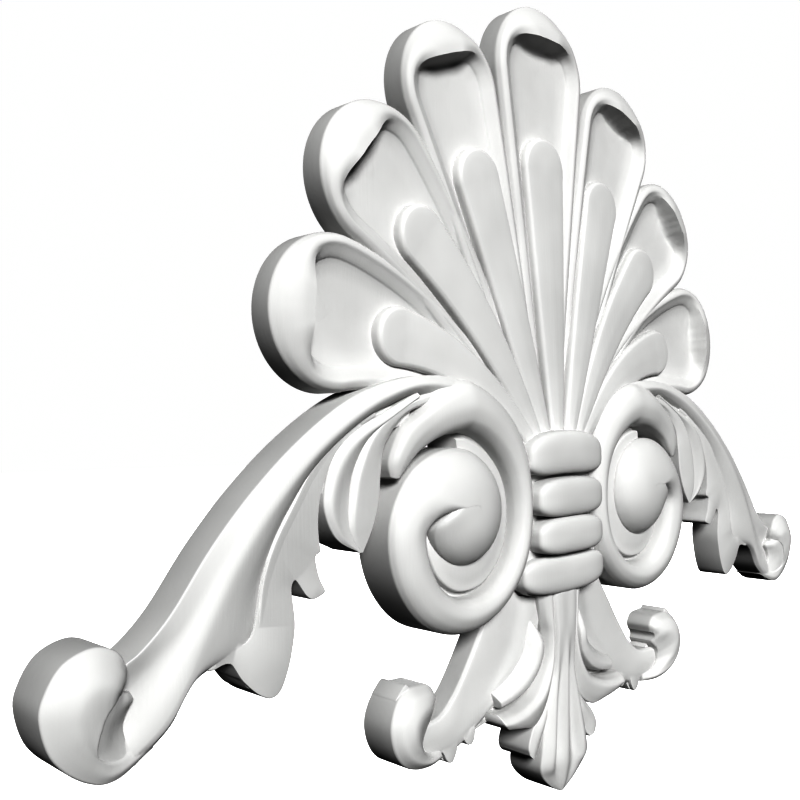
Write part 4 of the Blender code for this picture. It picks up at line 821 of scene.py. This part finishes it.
def painted_wood(settings):
    """Matt pale paint on carved wood: grain shows through as fine low ridges along the height.

    The tone is a soft noise between two shades of the paint, and the grain is a noise that is
    stretched along Z and bumps the surface.
    """
    material = bpy.data.materials.new(SLOT)
    material.use_nodes = True
    nodes, links = material.node_tree.nodes, material.node_tree.links
    shader = nodes["Principled BSDF"]
    shader.inputs["Roughness"].default_value = settings.roughness
    shader.inputs["Specular IOR Level"].default_value = SPECULAR
    place = nodes.new("ShaderNodeTexCoord")
    stretch = nodes.new("ShaderNodeMapping")
    stretch.inputs["Scale"].default_value = GRAIN_SCALE
    links.new(place.outputs["Object"], stretch.inputs["Vector"])
    grain = nodes.new("ShaderNodeTexNoise")
    grain.inputs["Scale"].default_value = 1.0
    grain.inputs["Detail"].default_value = 3.0
    links.new(stretch.outputs["Vector"], grain.inputs["Vector"])
    patches = nodes.new("ShaderNodeTexNoise")
    patches.inputs["Scale"].default_value = PATCH_SCALE
    patches.inputs["Detail"].default_value = 2.0
    links.new(place.outputs["Object"], patches.inputs["Vector"])
    tone = nodes.new("ShaderNodeValToRGB")
    r, g, b = settings.paint
    tone.color_ramp.elements[0].position = PATCH_ENDS[0]
    tone.color_ramp.elements[0].color = (r * PATCH_SHADE, g * PATCH_SHADE, b * PATCH_SHADE, 1.0)
    tone.color_ramp.elements[1].position = PATCH_ENDS[1]
    tone.color_ramp.elements[1].color = (r, g, b, 1.0)
    links.new(patches.outputs["Fac"], tone.inputs["Fac"])
    links.new(tone.outputs["Color"], shader.inputs["Base Color"])
    bump = nodes.new("ShaderNodeBump")
    bump.inputs["Strength"].default_value = GRAIN_STRENGTH
    bump.inputs["Distance"].default_value = GRAIN_DEPTH
    links.new(grain.outputs["Fac"], bump.inputs["Height"])
    links.new(bump.outputs["Normal"], shader.inputs["Normal"])
    return material


# The lights, as directions from the onlay; sizes and distance in metres
KEY_WAY = (-0.4, -0.8, 0.445)
KEY_SIZE = 1.6
REAR_WAY = (0.8, 0.58, 0.12)
REAR_SIZE = 2.4
REAR_SHARE = 0.36
LIGHT_DISTANCE = 4.0
AMBIENT = 0.01

# The pale floor: its radius in metres, its own light and how matt it is
FLOOR_RADIUS = 8.0
FLOOR_GLOW = 1.1
FLOOR_ROUGHNESS = 0.9

# The camera of the photograph: its place in metres, its turn, rise and roll in degrees, and its
# focal length
CAMERA_PLACE = (-0.21809, -0.1717, 0.0)
CAMERA_ANGLES = (44.02, 0.933, -0.962)
SENSOR_WIDTH = 36.0
FOCAL_PIXELS = 935.9
PHOTO_PIXELS = 800.0
VIEW_GAMMA = 0.47   # undoes the display curve, because the photograph's tones are linear


class OnlaySettings(bpy.types.PropertyGroup):
    """Finish of the carving."""
    paint: bpy.props.FloatVectorProperty(
        name="Paint", description="Colour of the paint", subtype="COLOR", size=3,
        default=(0.6, 0.6, 0.595))
    roughness: bpy.props.FloatProperty(
        name="Roughness", description="How matt the paint is", subtype="FACTOR",
        min=0.0, max=1.0, default=0.62)


class StageSettings(bpy.types.PropertyGroup):
    """Light and floor."""
    key_power: bpy.props.FloatProperty(
        name="Key light", description="Power of the large soft light", unit="POWER",
        min=0.0, default=284.0)
    floor_level: bpy.props.FloatProperty(
        name="Floor level", description="Height of the floor below the onlay's origin", default=-0.42,
        unit="LENGTH")


class ONLAY_OT_carving(bpy.types.Operator):
    """Make the carving's fine relief and paint it"""
    bl_idname = "onlay.carving"
    bl_label = "Carving"

    def execute(self, context):
        forms = bpy.data.collections.new("forms")
        context.scene.collection.children.link(forms)
        for number, spine in enumerate(LOBES):
            shell_lobe(number, spine, forms)
        shell_ground(forms)
        for number, spine in enumerate(TONGUES):
            tongue(number, spine, forms)
        volute(forms)
        side_arm(forms)
        end_scroll(forms)
        band(forms)
        pendant(forms)
        piece = united(forms)
        mesh = piece.data
        mesh.materials.clear()
        mesh.materials.append(painted_wood(context.scene.onlay))
        mesh.polygons.foreach_set("material_index", np.zeros(len(mesh.polygons), dtype=np.int32))
        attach(piece, "root")
        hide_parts(NODE)
        return {"FINISHED"}


def placed(axes, place):
    """The matrix with these three axes as columns, at this place."""
    return Matrix([(*row, value) for row, value in zip(axes, place)] + [(0, 0, 0, 1)])


def soft_light(name, toward, size, power, scene):
    """A round area light that stands in the given direction and faces the onlay."""
    back = np.array(toward) / np.linalg.norm(toward)
    right = np.cross([0.0, 0.0, 1.0], back)
    right /= np.linalg.norm(right)
    light = bpy.data.lights.new(name, "AREA")
    light.shape = "DISK"
    light.size = size
    light.energy = power
    lamp = bpy.data.objects.new(name, light)
    scene.collection.objects.link(lamp)
    axes = np.stack([right, np.cross(back, right), back], axis=1)
    lamp.matrix_world = placed(axes, back * LIGHT_DISTANCE)


class ONLAY_OT_stage(bpy.types.Operator):
    """Make the floor, the light and the camera"""
    bl_idname = "onlay.stage"
    bl_label = "Stage"

    def execute(self, context):
        settings = context.scene.onlay_stage
        scene = context.scene
        bm = bmesh.new()
        bmesh.ops.create_circle(bm, cap_ends=True, segments=96, radius=FLOOR_RADIUS)
        mesh = bpy.data.meshes.new("floor")
        bmesh.ops.translate(bm, verts=bm.verts, vec=(0.0, 0.0, settings.floor_level))
        bm.to_mesh(mesh)
        bm.free()
        floor = bpy.data.objects.new("floor", mesh)
        scene.collection.objects.link(floor)
        pale = bpy.data.materials.new("pale_floor")
        pale.use_nodes = True
        shader = pale.node_tree.nodes["Principled BSDF"]
        shader.inputs["Base Color"].default_value = (0.9, 0.9, 0.9, 1.0)
        shader.inputs["Roughness"].default_value = FLOOR_ROUGHNESS
        shader.inputs["Emission Color"].default_value = (1.0, 1.0, 1.0, 1.0)
        shader.inputs["Emission Strength"].default_value = FLOOR_GLOW
        mesh.materials.append(pale)
        floor.visible_diffuse = False
        floor.visible_glossy = False

        soft_light("key", KEY_WAY, KEY_SIZE, settings.key_power, scene)
        soft_light("rear", REAR_WAY, REAR_SIZE, settings.key_power * REAR_SHARE, scene)

        world = bpy.data.worlds.new("studio")
        scene.world = world
        world.use_nodes = True
        nodes, links = world.node_tree.nodes, world.node_tree.links
        sky = nodes["Background"]
        seen = nodes.new("ShaderNodeBackground")
        seen.inputs["Color"].default_value = (1.0, 1.0, 1.0, 1.0)
        seen.inputs["Strength"].default_value = 1.0
        sky.inputs["Color"].default_value = (1.0, 1.0, 1.0, 1.0)
        sky.inputs["Strength"].default_value = AMBIENT
        path = nodes.new("ShaderNodeLightPath")
        mix = nodes.new("ShaderNodeMixShader")
        links.new(path.outputs["Is Camera Ray"], mix.inputs["Fac"])
        links.new(sky.outputs["Background"], mix.inputs[1])
        links.new(seen.outputs["Background"], mix.inputs[2])
        links.new(mix.outputs["Shader"], nodes["World Output"].inputs["Surface"])

        camera_data = bpy.data.cameras.new("view")
        camera_data.sensor_width = SENSOR_WIDTH
        camera_data.lens = SENSOR_WIDTH * FOCAL_PIXELS / PHOTO_PIXELS
        camera_data.clip_start = 0.01
        camera = bpy.data.objects.new("view", camera_data)
        scene.collection.objects.link(camera)
        turn, rise, roll = np.radians(CAMERA_ANGLES)
        ahead = np.array([np.sin(turn) * np.cos(rise), np.cos(turn) * np.cos(rise), np.sin(rise)])
        right = np.array([np.cos(turn), -np.sin(turn), 0.0])
        up = np.cross(right, ahead)
        right, up = right * np.cos(roll) + up * np.sin(roll), up * np.cos(roll) - right * np.sin(roll)
        camera.matrix_world = placed(np.stack([right, up, -ahead], axis=1), CAMERA_PLACE)
        scene.camera = camera
        scene.view_settings.view_transform = "Standard"
        scene.view_settings.gamma = VIEW_GAMMA
        return {"FINISHED"}


class ONLAY_PT_panel(bpy.types.Panel):
    """Settings and steps in the 3D view's sidebar"""
    bl_idname = "ONLAY_PT_panel"
    bl_label = "Carved Onlay"
    bl_space_type = "VIEW_3D"
    bl_region_type = "UI"
    bl_category = "Onlay"

    def draw(self, context):
        layout = self.layout
        for owner in (context.scene.onlay, context.scene.onlay_stage):
            for name in owner.__annotations__:
                layout.prop(owner, name)
        layout.operator("onlay.carving")
        layout.operator("onlay.stage")


CLASSES = (OnlaySettings, StageSettings, ONLAY_OT_carving, ONLAY_OT_stage, ONLAY_PT_panel)


def register():
    for cls in CLASSES:
        bpy.utils.register_class(cls)
    bpy.types.Scene.onlay = bpy.props.PointerProperty(type=OnlaySettings)
    bpy.types.Scene.onlay_stage = bpy.props.PointerProperty(type=StageSettings)


def unregister():
    del bpy.types.Scene.onlay_stage
    del bpy.types.Scene.onlay
    for cls in reversed(CLASSES):
        bpy.utils.unregister_class(cls)


def main():
    register()
    bpy.ops.onlay.carving()
    bpy.ops.onlay.stage()


if __name__ == "__main__":
    main()
